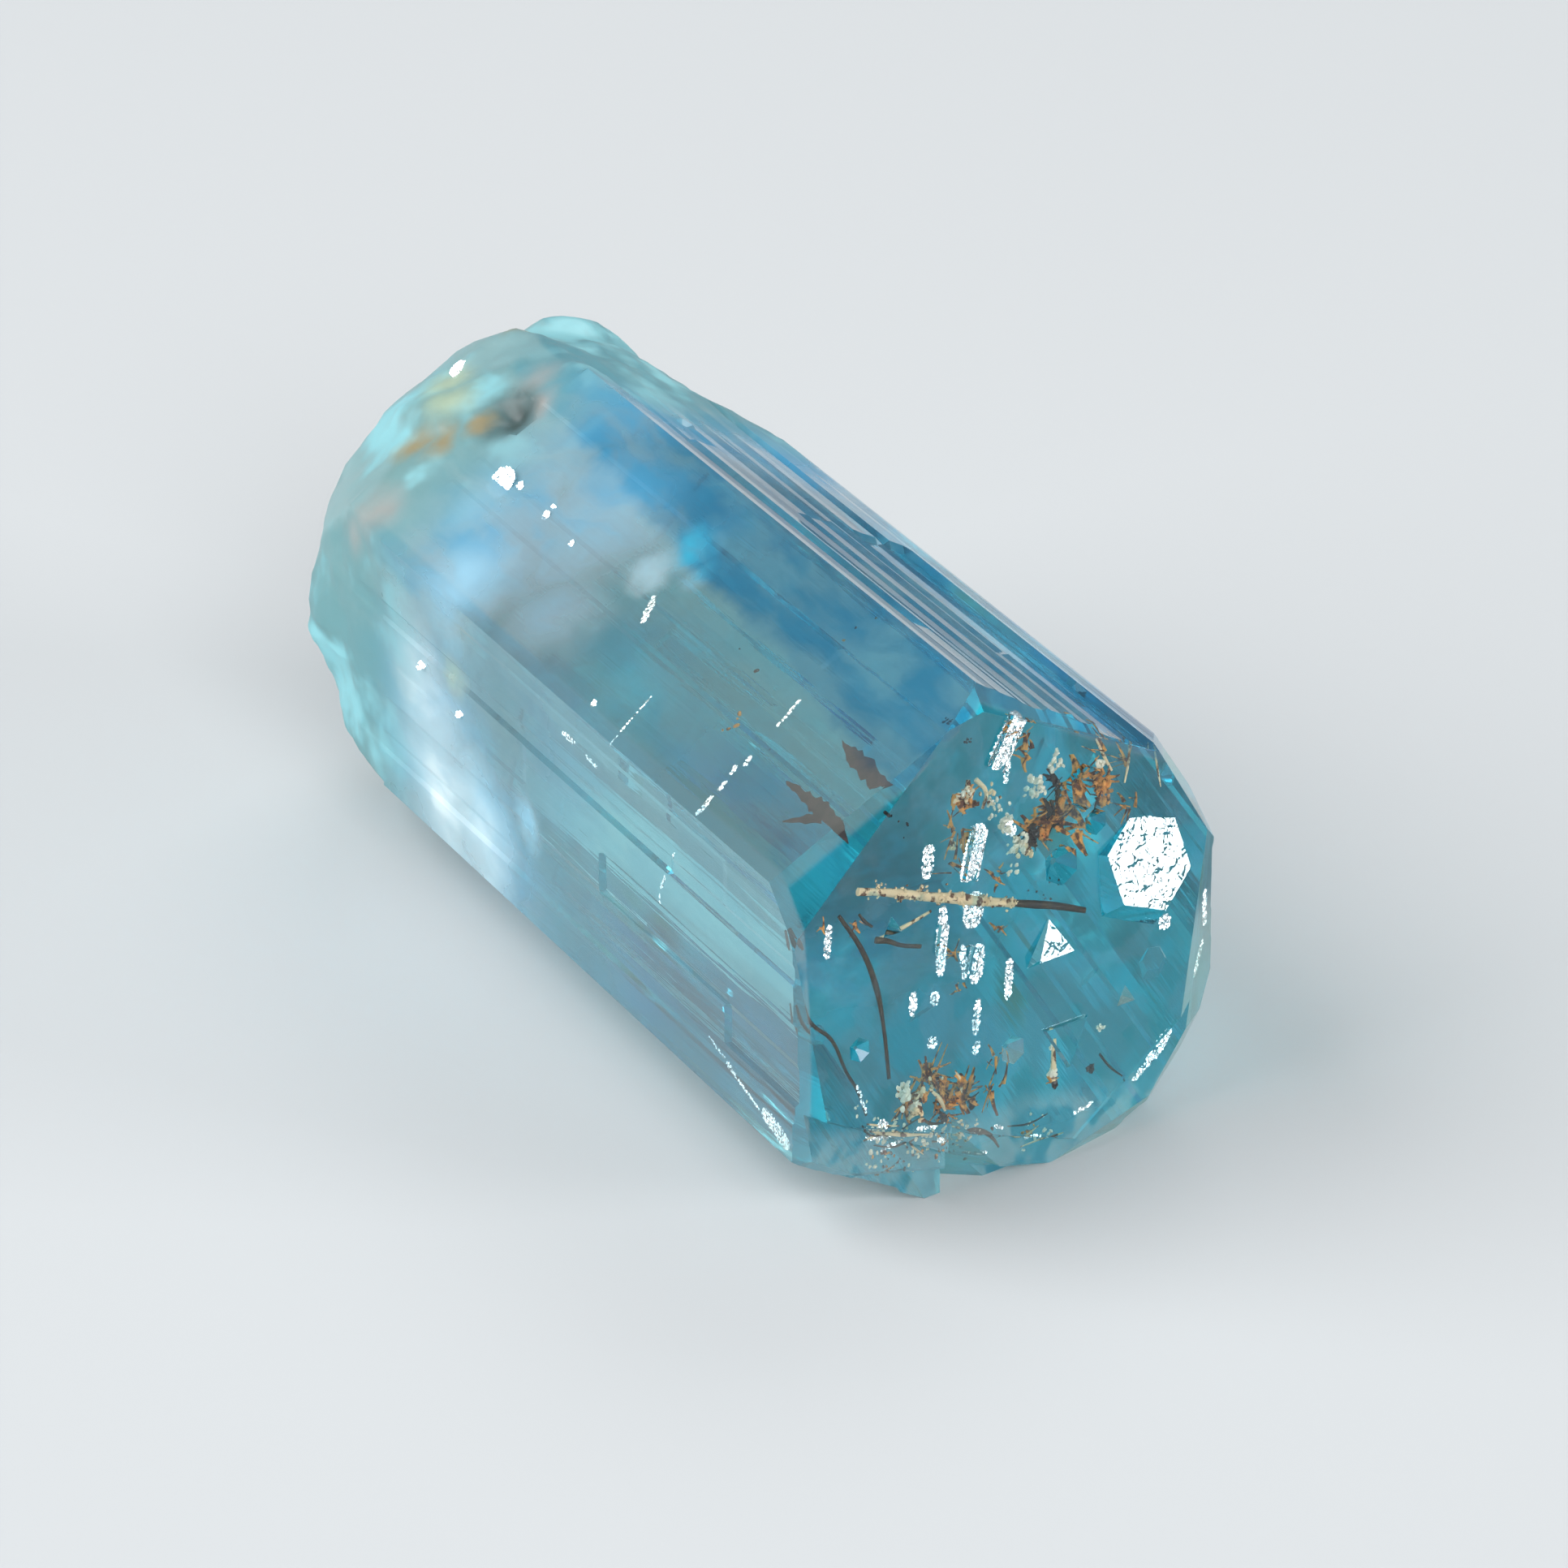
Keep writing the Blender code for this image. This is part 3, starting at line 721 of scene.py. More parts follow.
# %% [markdown]
# The crystal's guests come in hundreds: shards, blades and crumbs. Each kind is modelled
# once and copied. Linked copies would share one mesh, and an export may drop them, so all
# copies of a kind are joined in one real mesh: each place is a 4x4 matrix that moves the
# model's corners there. Random numbers come from a seeded generator, and a model's faces
# are sorted, because an operator may leave them in any order: so every run gives the same
# guests.

# %% Copies joined in one mesh
def joined_copies(name, model, places, material):
    """One mesh made of copies of a small model, one for each 4x4 matrix."""
    points = np.array([tuple(vertex.co) for vertex in model.data.vertices])
    corners = sorted(list(face.vertices) for face in model.data.polygons)
    moves = np.array([[tuple(row) for row in place] for place in places])
    copies = points @ np.swapaxes(moves[:, :3, :3], 1, 2) + moves[:, None, :3, 3]
    faces = []
    for number in range(len(places)):
        start = number * len(points)
        faces += [[start + corner for corner in face] for face in corners]
    data = bpy.data.meshes.new(name)
    data.from_pydata(copies.reshape(-1, 3).tolist(), [], faces)
    piece = bpy.data.objects.new(name, data)
    bpy.context.scene.collection.objects.link(piece)
    data.materials.append(material)
    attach(piece, "root")
    print(name + ":", len(places), "copies,", len(faces), "faces")


def remove(model):
    """Delete a model once its copies are made."""
    bpy.data.objects.remove(model, do_unlink=True)

# %% [markdown]
# Air-filled films and open tubes inside the crystal mirror light almost wholly, so they
# flash silver white when they are tilted right. Each bright patch is a mosaic of small
# six-sided shards, laid along a line at the mirror tilt and each turned a few degrees off
# it, so that the patch sparkles in grains as the real ones do.

# %% Silver shards in tubes, patches and cracks
SHARD = (0.013, 0.026)
SHARD_SPACING = 0.027
SHARD_WOBBLE = 6.0
GLINT_CLEAR = 0.03
ABOVE_SKIN = 0.012
FROM_AFAR = mm(20.0)
# Patches under the end face: the two ends as (y, z), width (mm), depth.
END_GLINTS = (
    ((0.60, 4.20), (0.00, 3.45), 0.38, 0.10),
    ((-0.30, 2.55), (-0.70, 1.65), 0.34, 0.10),
    ((-1.35, 2.50), (-1.45, 1.95), 0.26, 0.25),
    ((-1.15, 1.35), (-1.30, 0.15), 0.22, 0.15),
    ((-0.50, 1.40), (-0.60, 0.80), 0.42, 0.30),
    ((-0.80, 0.55), (-0.80, -0.05), 0.14, 0.30),
    ((-0.45, 0.45), (-0.60, -0.20), 0.26, 0.20),
    ((0.15, 0.00), (0.05, -0.70), 0.17, 0.20),
    ((-1.85, 0.05), (-1.90, -0.35), 0.16, 0.20),
    ((-1.40, -0.10), (-1.45, -0.30), 0.18, 0.30),
    ((-0.55, -0.50), (-0.65, -1.10), 0.15, 0.30),
    ((-3.45, 1.75), (-3.55, 1.20), 0.14, 0.20),
    ((-1.50, -0.85), (-1.55, -1.05), 0.20, 0.30),
    ((-0.60, -1.25), (-0.70, -1.45), 0.12, 0.30),
    ((0.35, 3.55), (0.25, 3.10), 0.10, 0.40),
    ((0.25, 2.40), (0.35, 2.15), 0.22, 0.40),
    ((3.40, -0.25), (3.40, -0.50), 0.26, 0.08),
    ((4.30, -0.10), (4.30, -0.75), 0.16, 0.05),
    ((4.25, -1.00), (4.00, -1.60), 0.10, 0.05),
    ((3.45, -2.35), (2.95, -2.80), 0.26, 0.05),
    ((3.10, -2.75), (2.60, -3.05), 0.10, 0.05),
    ((-2.70, -2.00), (-2.55, -2.15), 0.16, 0.10),
    ((-1.95, -2.40), (-1.55, -2.45), 0.10, 0.10),
    ((-2.60, -2.60), (-2.20, -2.55), 0.07, 0.10),
    ((-1.20, -2.95), (-1.30, -3.15), 0.09, 0.10),
    ((0.25, -3.30), (0.60, -3.35), 0.07, 0.05),
    ((-0.35, -2.85), (-0.20, -2.95), 0.08, 0.10),
    ((-3.10, -1.20), (-2.95, -1.75), 0.05, 0.10),
    ((-2.90, -2.25), (-2.45, -2.40), 0.10, 0.10),
    ((-1.50, -2.75), (-1.10, -2.90), 0.09, 0.10),
    ((-0.90, -3.20), (-0.50, -3.30), 0.07, 0.05),
    ((1.20, -3.20), (1.70, -3.10), 0.06, 0.05),
)
# The same under the prism faces: face, two ends as (x, along), width, depth.
SIDE_GLINTS = (
    (FRONT, (3.00, -2.35), (2.90, -2.30), 0.10, 0.10),
    (FRONT, (2.98, -2.30), (2.86, -1.95), 0.09, 0.10),
    (FRONT, (2.86, -1.82), (2.80, -1.60), 0.08, 0.10),
    (FRONT, (2.72, -1.48), (2.66, -1.30), 0.09, 0.10),
    (FRONT, (2.80, -1.22), (2.72, -1.02), 0.08, 0.10),
    (FRONT, (2.55, -0.35), (2.40, 0.25), 0.06, 0.08),
    (LEFT, (2.25, 1.40), (1.98, 0.90), 0.05, 0.08),
    (LEFT, (1.92, 0.80), (1.75, 0.45), 0.06, 0.08),
    (LEFT, (1.72, 0.35), (1.75, 0.00), 0.04, 0.08),
    (LEFT, (1.78, -0.10), (1.80, -0.30), 0.04, 0.08),
    (FRONT, (-2.32, 0.00), (-1.95, -0.50), 0.14, 0.40),
    (FRONT, (0.05, -2.50), (-0.25, -1.30), 0.02, 0.10),
    (LEFT, (-1.75, 1.80), (-1.30, 1.80), 0.10, 0.20),
    (LEFT, (-0.90, 1.75), (-0.50, 1.70), 0.06, 0.20),
    (LEFT, (5.30, -2.00), (6.20, -2.25), 0.30, 0.10),
    (LEFT, (3.40, -1.55), (5.20, -2.05), 0.05, 0.10),
)
# Small flat facets on the frosted skin that catch the light: face, two ends, width.
SKIN_GLINTS = (
    (FRONT, (-7.92, -0.22), (-7.34, -0.22), 0.60),
    (FRONT, (-7.28, -0.02), (-7.12, -0.08), 0.16),
    (FRONT, (-6.12, -0.15), (-5.98, -0.15), 0.17),
    (FRONT, (-6.14, 0.04), (-6.04, 0.06), 0.08),
    (FRONT, (-5.00, -0.25), (-4.90, -0.25), 0.14),
    (FRONT, (-11.20, 1.05), (-11.05, 0.72), 0.32),
    (LEFT, (-7.10, 0.74), (-6.92, 0.71), 0.26),
    (LEFT, (-5.65, 0.44), (-5.50, 0.41), 0.20),
    (FRONT, (-1.16, -2.10), (-1.04, -2.10), 0.12),
)


def tilted(normal, degrees):
    """The turn that lays a shard square to a normal, a few degrees off."""
    turn = normal.to_track_quat("Z", "Y").to_matrix().to_4x4()
    leans = [math.radians(rng.gauss(0.0, degrees)) for _ in range(2)]
    wobble = Euler(leans + [rng.uniform(0, math.tau)])
    return turn @ wobble.to_matrix().to_4x4()


def shards_between(start, end, width, normal):
    """Places for a mosaic of shards along a line, in the film that has this normal."""
    along = end - start
    sideways = normal.cross(along).normalized() * mm(width)
    count = max(3, round(along.length * sideways.length / mm(SHARD_SPACING) ** 2))
    laid = []
    for _ in range(count):
        share, across, size = rng.random(), rng.uniform(-0.5, 0.5), mm(rng.uniform(*SHARD))
        across *= (4.0 * share * (1.0 - share)) ** 0.3
        point = start + along * share + sideways * across
        laid.append(Matrix.Translation(point) @ tilted(normal, SHARD_WOBBLE) @ Matrix.Scale(size, 4))
    return laid


rng = random.Random(5)
places = []
end_tilt = mirror_tilt(BASE_NORMAL, SIDE_LIGHT)
for start, end, width, depth in END_GLINTS:
    ends = [settled(under_end(*spot, depth), END_SIGHT, GLINT_CLEAR) for spot in (start, end)]
    places += shards_between(*ends, width, end_tilt)
for face, start, end, width, depth in SIDE_GLINTS:
    tilt = mirror_tilt(around(face), KEY_LIGHT)
    ends = [under_side(face, *spot, depth) for spot in (start, end)]
    places += shards_between(*ends, width, tilt)
places = [laid for laid in places if inside(laid.translation, GLINT_CLEAR)]


def on_skin(face, x, along):
    """The point of the skin that is seen at a place on a prism face, a hair above it."""
    start = under_side(face, x, along) + LINE_OF_SIGHT * FROM_AFAR
    return skin.ray_cast(start, -LINE_OF_SIGHT)[0] + LINE_OF_SIGHT * mm(ABOVE_SKIN)


skin_tilt = (LINE_OF_SIGHT + KEY_LIGHT).normalized()
for face, start, end, width in SKIN_GLINTS:
    places += shards_between(on_skin(face, *start), on_skin(face, *end), width, skin_tilt)
deselect()
bpy.ops.mesh.primitive_circle_add(vertices=6, radius=1.0, fill_type="NGON")
shard_model = bpy.context.object
air, shader = new_material("air_film_silver", {
    "Base Color": srgb("#f6fafc"), "Metallic": 1.0, "Roughness": 0.22})
joined_copies("silver_shards", shard_model, places, air)
remove(shard_model)

# %% [markdown]
# Growth tubes are hair-thin channels that iron-rich water has filled with rust or dark
# oxide. A curve with a round bevel is drawn through each one's bends, with its own width
# at every bend, and then turned into a mesh. Its colour changes along it from pale tan
# fluff to brown-black, so the material mixes two colours by noise.

# %% Growth tubes
# Each tube: its stops as (y, z, depth, width), all in mm.
TAN_TUBES = (
    ((-2.85, 2.15, 0.15, 0.15), (-2.45, 2.02, 0.2, 0.13), (-2.0, 1.85, 0.2, 0.18),
     (-1.4, 1.60, 0.25, 0.17), (-0.85, 1.40, 0.25, 0.21), (-0.3, 1.17, 0.3, 0.17),
     (0.3, 0.95, 0.3, 0.16)),
    ((-2.5, 1.20, 0.5, 0.06), (-1.95, 1.25, 0.5, 0.08), (-1.4, 1.35, 0.5, 0.05)),
    ((0.95, -1.70, 0.2, 0.06), (0.93, -2.10, 0.2, 0.11), (0.9, -2.45, 0.2, 0.16)),
    ((-0.35, 3.35, 0.4, 0.10), (-0.15, 3.05, 0.4, 0.09), (-0.25, 2.80, 0.4, 0.06)),
    ((-2.95, -1.95, 0.1, 0.03), (-2.60, -2.10, 0.1, 0.05), (-2.30, -2.20, 0.1, 0.03)),
    ((-2.85, -2.15, 0.1, 0.03), (-2.25, -2.40, 0.1, 0.08), (-1.65, -2.60, 0.1, 0.03)),
    ((-2.35, -2.95, 0.1, 0.03), (-2.55, -3.00, 0.1, 0.05), (-2.70, -3.05, 0.1, 0.02)),
    ((-2.95, -2.30, 0.1, 0.03), (-2.50, -2.30, 0.1, 0.06), (-2.10, -2.42, 0.1, 0.03)),
    ((-1.75, -2.95, 0.1, 0.02), (-1.95, -2.75, 0.1, 0.05), (-2.05, -2.60, 0.1, 0.02)),
    ((-0.05, -3.15, 0.1, 0.02), (0.20, -3.25, 0.1, 0.06), (0.55, -3.15, 0.1, 0.02)),
    ((-1.65, -1.75, 0.2, 0.04), (-1.45, -2.00, 0.2, 0.10), (-1.35, -2.25, 0.2, 0.05)),
    ((-1.10, -1.60, 0.3, 0.03), (-1.00, -1.85, 0.3, 0.08), (-1.02, -2.15, 0.3, 0.04)),
    ((0.20, -3.45, 0.1, 0.02), (0.85, -3.45, 0.1, 0.05), (1.05, -3.45, 0.1, 0.02)),
    ((2.15, 3.30, 0.3, 0.04), (2.30, 2.95, 0.3, 0.07), (2.45, 2.65, 0.3, 0.05)),
    ((2.85, 3.10, 0.3, 0.03), (2.80, 2.70, 0.3, 0.06), (2.70, 2.35, 0.3, 0.04)),
    ((3.35, 2.80, 0.3, 0.02), (3.40, 2.40, 0.3, 0.05), (3.45, 2.05, 0.3, 0.02)),
)
DARK_TUBES = (
    ((0.3, 0.95, 0.3, 0.13), (0.7, 0.80, 0.3, 0.15), (1.1, 0.65, 0.3, 0.14),
     (1.75, 0.36, 0.3, 0.11)),
    ((-3.25, 1.85, 0.2, 0.08), (-2.85, 1.15, 0.2, 0.11), (-2.6, 0.40, 0.2, 0.13),
     (-2.5, -0.30, 0.2, 0.08), (-2.45, -1.30, 0.2, 0.08)),
    ((-2.55, 1.20, 0.4, 0.13), (-2.3, 1.10, 0.4, 0.10), (-2.05, 0.95, 0.4, 0.08),
     (-1.65, 0.80, 0.4, 0.08)),
    ((-4.05, 0.55, 0.4, 0.04), (-3.95, 0.20, 0.4, 0.07), (-3.55, -0.25, 0.45, 0.07),
     (-3.3, -0.90, 0.45, 0.06), (-3.1, -1.30, 0.4, 0.06), (-2.95, -1.80, 0.3, 0.05)),
    ((1.9, -2.30, 0.3, 0.05), (2.1, -2.60, 0.3, 0.05), (2.35, -2.85, 0.25, 0.03)),
    ((-1.0, -2.75, 0.15, 0.06), (-0.75, -2.80, 0.15, 0.10), (-0.45, -3.00, 0.15, 0.09),
     (-0.38, -3.10, 0.1, 0.05)),
    ((-2.85, 1.75, 0.5, 0.05), (-2.75, 1.60, 0.5, 0.07), (-2.6, 1.45, 0.5, 0.05)),
    ((-2.00, -3.15, 0.1, 0.02), (-2.25, -3.08, 0.1, 0.05), (-2.50, -3.05, 0.1, 0.02)),
    ((-0.75, -2.80, 0.1, 0.04), (-0.40, -3.05, 0.1, 0.07), (-0.25, -3.30, 0.1, 0.04)),
    ((-4.15, 1.85, 0.3, 0.08), (-4.05, 1.60, 0.3, 0.10), (-4.00, 1.50, 0.3, 0.05)),
    ((-3.05, -1.95, 0.1, 0.03), (-2.70, -2.30, 0.1, 0.04), (-1.90, -2.20, 0.1, 0.02)),
    ((-2.75, -2.45, 0.1, 0.02), (-2.30, -2.62, 0.1, 0.05), (-1.85, -2.55, 0.1, 0.02)),
    ((-1.60, -2.75, 0.1, 0.02), (-1.35, -2.85, 0.1, 0.05), (-1.15, -3.10, 0.1, 0.02)),
    ((-1.90, -2.10, 0.1, 0.03), (-1.70, -2.35, 0.1, 0.07), (-1.40, -2.45, 0.1, 0.03)),
    ((-0.10, -2.95, 0.1, 0.02), (0.35, -3.05, 0.1, 0.04), (0.75, -3.00, 0.1, 0.02)),
)


def tube_through(stops):
    """A round tube through stops, as (place, width in mm) pairs, closed at both ends."""
    deselect()
    bpy.ops.curve.primitive_bezier_curve_add(location=(0.0, 0.0, 0.0))
    tube = bpy.context.object
    points = tube.data.splines[0].bezier_points
    points.add(len(stops) - len(points))
    for point, (where, width) in zip(points, stops):
        point.co = where
        point.handle_left_type = point.handle_right_type = "AUTO"
        point.radius = width
    tube.data.bevel_depth = mm(0.5)
    tube.data.bevel_resolution = 1
    tube.data.resolution_u = 4
    tube.data.use_fill_caps = True
    bpy.ops.object.convert(target="MESH")
    return bpy.context.object


def joined(name, pieces, material):
    """Several pieces as one, with its name and material."""
    deselect()
    for piece in pieces:
        piece.select_set(True)
    bpy.context.view_layer.objects.active = pieces[0]
    bpy.ops.object.join()
    whole = bpy.context.object
    whole.name = name
    whole.data.materials.clear()
    whole.data.materials.append(material)
    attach(whole, "root")
    print(name + ":", len(whole.data.polygons), "faces")


def mixed_colour(material, shader, size, low_colour, high_colour, edges=(0.42, 0.58)):
    """Base colour that changes from one to the other in patches of a size (mm)."""
    spot = add_node(material, "ShaderNodeTexCoord").outputs["Object"]
    patch = add_node(material, "ShaderNodeTexNoise", inputs={
        "Vector": spot, "Scale": per_size(size), "Detail": 3.0})
    share = add_node(material, "ShaderNodeMapRange", inputs={
        "Value": patch.outputs["Fac"], "From Min": edges[0], "From Max": edges[1]})
    colour = add_node(material, "ShaderNodeMix", {"data_type": "RGBA"}, {
        0: share.outputs["Result"], 6: srgb(low_colour), 7: srgb(high_colour)})
    material.node_tree.links.new(colour.outputs[2], shader.inputs["Base Color"])


tan, shader = new_material("tan_limonite_fluff", {"Roughness": 0.85})
mixed_colour(tan, shader, 0.16, "#6b4225", "#fbdfb4", (0.40, 0.48))
dark, shader = new_material("dark_iron_oxide", {"Roughness": 0.6})
mixed_colour(dark, shader, 0.30, "#080b07", "#33290f")
for name, tubes, material in (("tan_tubes", TAN_TUBES, tan), ("dark_tubes", DARK_TUBES, dark)):
    made = []
    for stops in tubes:
        made.append(tube_through([
            (settled(under_end(y, z, depth), END_SIGHT), width) for y, z, depth, width in stops]))
    joined(name, made, material)

# %% [markdown]
# Rust grows in tufts: blades of iron oxide that spread from a point, dark brown in the
# core and orange where they are thin. One bent blade is modelled, as a small four-sided
# rod that is extruded three times and narrowed each time, and copies fan out of each
# tuft's centre.

# %% Rust tufts
# Each tuft: y, z, depth, spread, blades, length, width of a blade (mm).
RUST_TUFTS = (
    (-0.55, 3.10, 0.5, 0.16, 16, 0.34, 0.20),
    (-0.80, 2.50, 0.6, 0.20, 9, 0.50, 0.12),
    (-0.90, 2.05, 0.6, 0.15, 6, 0.45, 0.10),
    (0.80, 2.15, 0.7, 0.16, 16, 0.55, 0.24),
    (1.30, 2.25, 0.8, 0.24, 22, 0.60, 0.26),
    (1.65, 2.70, 0.7, 0.18, 12, 0.50, 0.22),
    (1.60, 1.85, 0.8, 0.16, 9, 0.50, 0.18),
    (2.20, 2.50, 0.4, 0.14, 16, 0.36, 0.26),
    (2.75, 1.95, 0.4, 0.12, 8, 0.38, 0.14),
    (2.25, 3.05, 0.3, 0.12, 6, 0.60, 0.09),
    (2.70, 2.70, 0.3, 0.10, 6, 0.65, 0.08),
    (0.60, 3.90, 0.3, 0.14, 7, 0.35, 0.10),
    (0.75, 3.45, 0.7, 0.14, 9, 0.32, 0.16),
    (0.00, 1.55, 0.5, 0.10, 9, 0.24, 0.14),
    (-1.00, 0.50, 0.6, 0.12, 8, 0.28, 0.12),
    (-0.05, 0.60, 0.6, 0.10, 6, 0.25, 0.10),
    (-0.95, -0.15, 0.6, 0.10, 5, 0.22, 0.09),
    (-2.10, -1.80, 0.3, 0.14, 16, 0.40, 0.20),
    (-1.60, -1.60, 0.5, 0.24, 24, 0.50, 0.16),
    (-1.35, -2.10, 0.4, 0.22, 20, 0.36, 0.20),
    (-0.95, -2.05, 0.4, 0.18, 20, 0.42, 0.20),
    (-0.35, -2.10, 0.5, 0.16, 9, 0.50, 0.11),
    (-1.30, -2.40, 0.2, 0.16, 9, 0.30, 0.12),
    (-0.30, -1.60, 0.6, 0.20, 5, 0.35, 0.09),
    (0.90, -2.45, 0.2, 0.06, 8, 0.16, 0.12),
    (-2.90, 1.60, 0.4, 0.10, 5, 0.22, 0.10),
    (-3.60, 1.75, 0.2, 0.06, 4, 0.20, 0.08),
)
# Dark cores of the same tufts, in the same form.
DARK_CORES = (
    (0.70, 2.10, 0.6, 0.12, 14, 0.34, 0.20),
    (1.30, 2.75, 0.6, 0.12, 10, 0.30, 0.16),
    (1.15, 2.15, 0.7, 0.16, 8, 0.35, 0.14),
    (2.15, 2.25, 0.5, 0.08, 5, 0.22, 0.12),
    (-0.85, -2.20, 0.3, 0.08, 7, 0.24, 0.14),
    (-1.35, -2.30, 0.2, 0.08, 6, 0.22, 0.12),
    (-0.60, 2.95, 0.6, 0.08, 4, 0.22, 0.10),
)
BLADE_BEND = 0.16
BLADE_STEP = 0.34
BLADE_TAPER = 0.72
BLADE_TIP = Vector((0.3, 0.0, 1.0))
BLADE_CLEAR = 0.04
# How much of a blade's way towards the eye is taken off, so that tufts fan out sideways.
FLATTENED = 0.7


def blade():
    """One bent, tapering blade, a unit long and a unit wide at its foot."""
    deselect()
    bpy.ops.mesh.primitive_circle_add(vertices=4, radius=0.5, fill_type="NGON")
    model = bpy.context.object
    bpy.ops.object.mode_set(mode="EDIT")
    bpy.ops.mesh.select_all(action="SELECT")
    for step in range(3):
        bpy.ops.mesh.extrude_region_move(
            TRANSFORM_OT_translate={"value": (BLADE_BEND * step, 0.0, BLADE_STEP)})
        bpy.ops.transform.resize(value=(BLADE_TAPER, BLADE_TAPER, 1.0))
    bpy.ops.mesh.select_all(action="SELECT")
    bpy.ops.mesh.normals_make_consistent(inside=False)
    bpy.ops.object.mode_set(mode="OBJECT")
    return model


def tuft_places(tufts):
    """Where the blades of some tufts go: from near the middle, mostly across the sight."""
    laid = []
    for y, z, depth, spread, blades, length, width in tufts:
        heart = settled(under_end(y, z, depth), END_SIGHT, 0.2)
        for _ in range(blades):
            foot = Vector([rng.gauss(0.0, 0.5) for _ in range(3)]) * mm(spread)
            way = Vector([rng.gauss(0.0, 1.0) for _ in range(3)])
            way = (way - END_SIGHT * way.dot(END_SIGHT) * FLATTENED).normalized()
            reach, thick = length * rng.uniform(0.4, 1.1), width * rng.uniform(0.5, 1.2)
            turn = way.to_track_quat("Z", "Y")
            size = Vector((mm(thick), mm(thick * 0.35), mm(reach)))
            place_of = Matrix.LocRotScale(heart + foot, turn, size)
            both_ends = (place_of.translation, place_of @ BLADE_TIP)
            if all(inside(point, BLADE_CLEAR) for point in both_ends):
                laid.append(place_of)
    return laid


rng = random.Random(41)
blade_model = blade()
rust, shader = new_material("orange_iron_rust", {"Roughness": 0.8})
mixed_colour(rust, shader, 0.16, "#5e2a0c", "#f4a24c", (0.42, 0.54))
joined_copies("rust_tufts", blade_model, tuft_places(RUST_TUFTS), rust)
joined_copies("rust_cores", blade_model, tuft_places(DARK_CORES), dark)
remove(blade_model)

# %% [markdown]
# Between the rust lie crumbs: white clay in little heaps, and grains of black mineral.
# Both are copies of one lump, a low ico sphere whose corners are shaken at random, and
# only their size and material differ.

# %% White crumbs and black grains
# Heaps under the end face: y, z, depth, spread, grains, grain size (mm).
WHITE_HEAPS = (
    (0.85, 2.85, 0.5, 0.20, 26, 0.070), (1.25, 3.10, 0.5, 0.16, 16, 0.065),
    (0.25, 2.35, 0.5, 0.12, 22, 0.085), (0.45, 2.00, 0.5, 0.16, 20, 0.070),
    (-2.15, -1.65, 0.2, 0.12, 20, 0.085), (0.90, -2.30, 0.2, 0.05, 12, 0.08),
    (0.00, 2.80, 0.5, 0.16, 10, 0.055), (2.20, 2.85, 0.3, 0.06, 12, 0.065),
    (-2.70, -2.10, 0.2, 0.20, 14, 0.045), (-1.95, -2.45, 0.2, 0.22, 16, 0.045),
    (-0.55, 3.15, 0.4, 0.10, 8, 0.065), (0.05, 2.75, 0.4, 0.18, 8, 0.045),
    (-1.95, -1.95, 0.2, 0.08, 12, 0.075), (-1.45, -2.50, 0.1, 0.16, 10, 0.045),
    (0.30, 1.55, 0.5, 0.12, 8, 0.05), (1.95, -1.85, 0.2, 0.05, 8, 0.050),
    (0.90, -1.85, 0.2, 0.05, 8, 0.045), (-0.70, -2.75, 0.1, 0.10, 8, 0.035),
    (-2.60, -2.50, 0.1, 0.35, 26, 0.055), (-1.80, -2.85, 0.1, 0.35, 28, 0.052),
    (-0.90, -3.00, 0.1, 0.35, 22, 0.048), (-3.00, -1.60, 0.1, 0.20, 8, 0.035),
    (0.60, -3.30, 0.1, 0.25, 14, 0.045),
)
# Tan fluff on the first tube and between the tufts, and orange lumps, in the same form.
TAN_HEAPS = (
    (-2.45, 2.02, 0.2, 0.12, 30, 0.034), (-2.00, 1.85, 0.2, 0.13, 34, 0.038),
    (-1.60, 1.70, 0.2, 0.12, 32, 0.036), (-1.15, 1.50, 0.2, 0.11, 34, 0.038),
    (-0.80, 1.38, 0.2, 0.11, 34, 0.042), (-0.30, 1.17, 0.2, 0.12, 32, 0.036),
    (0.20, 1.00, 0.2, 0.10, 26, 0.034), (-0.55, 3.10, 0.4, 0.14, 14, 0.080),
    (-0.10, 2.95, 0.4, 0.16, 10, 0.060), (0.55, 1.85, 0.5, 0.14, 14, 0.070),
    (-1.90, -1.80, 0.2, 0.10, 8, 0.070), (-0.85, 2.35, 0.5, 0.10, 8, 0.060),
    (-2.30, -2.45, 0.1, 0.30, 16, 0.055), (-1.10, -2.80, 0.1, 0.30, 16, 0.050),
    (-1.95, -2.05, 0.2, 0.10, 14, 0.085), (-1.60, -1.60, 0.4, 0.22, 12, 0.050),
)
ORANGE_HEAPS = (
    (2.20, 2.45, 0.3, 0.14, 26, 0.080), (2.30, 2.15, 0.3, 0.10, 10, 0.070),
    (-1.75, -1.85, 0.2, 0.08, 12, 0.070), (-1.00, -1.75, 0.4, 0.08, 8, 0.060),
    (1.00, 2.05, 0.6, 0.12, 10, 0.070), (0.85, -2.40, 0.2, 0.05, 8, 0.060),
    (-0.50, 3.00, 0.5, 0.10, 6, 0.060), (1.55, 2.55, 0.7, 0.16, 10, 0.070),
    (-2.50, -2.80, 0.1, 0.30, 12, 0.055), (-1.50, -2.90, 0.1, 0.35, 14, 0.055),
    (0.40, -3.30, 0.1, 0.20, 10, 0.050), (-1.20, -2.10, 0.3, 0.10, 10, 0.065),
)
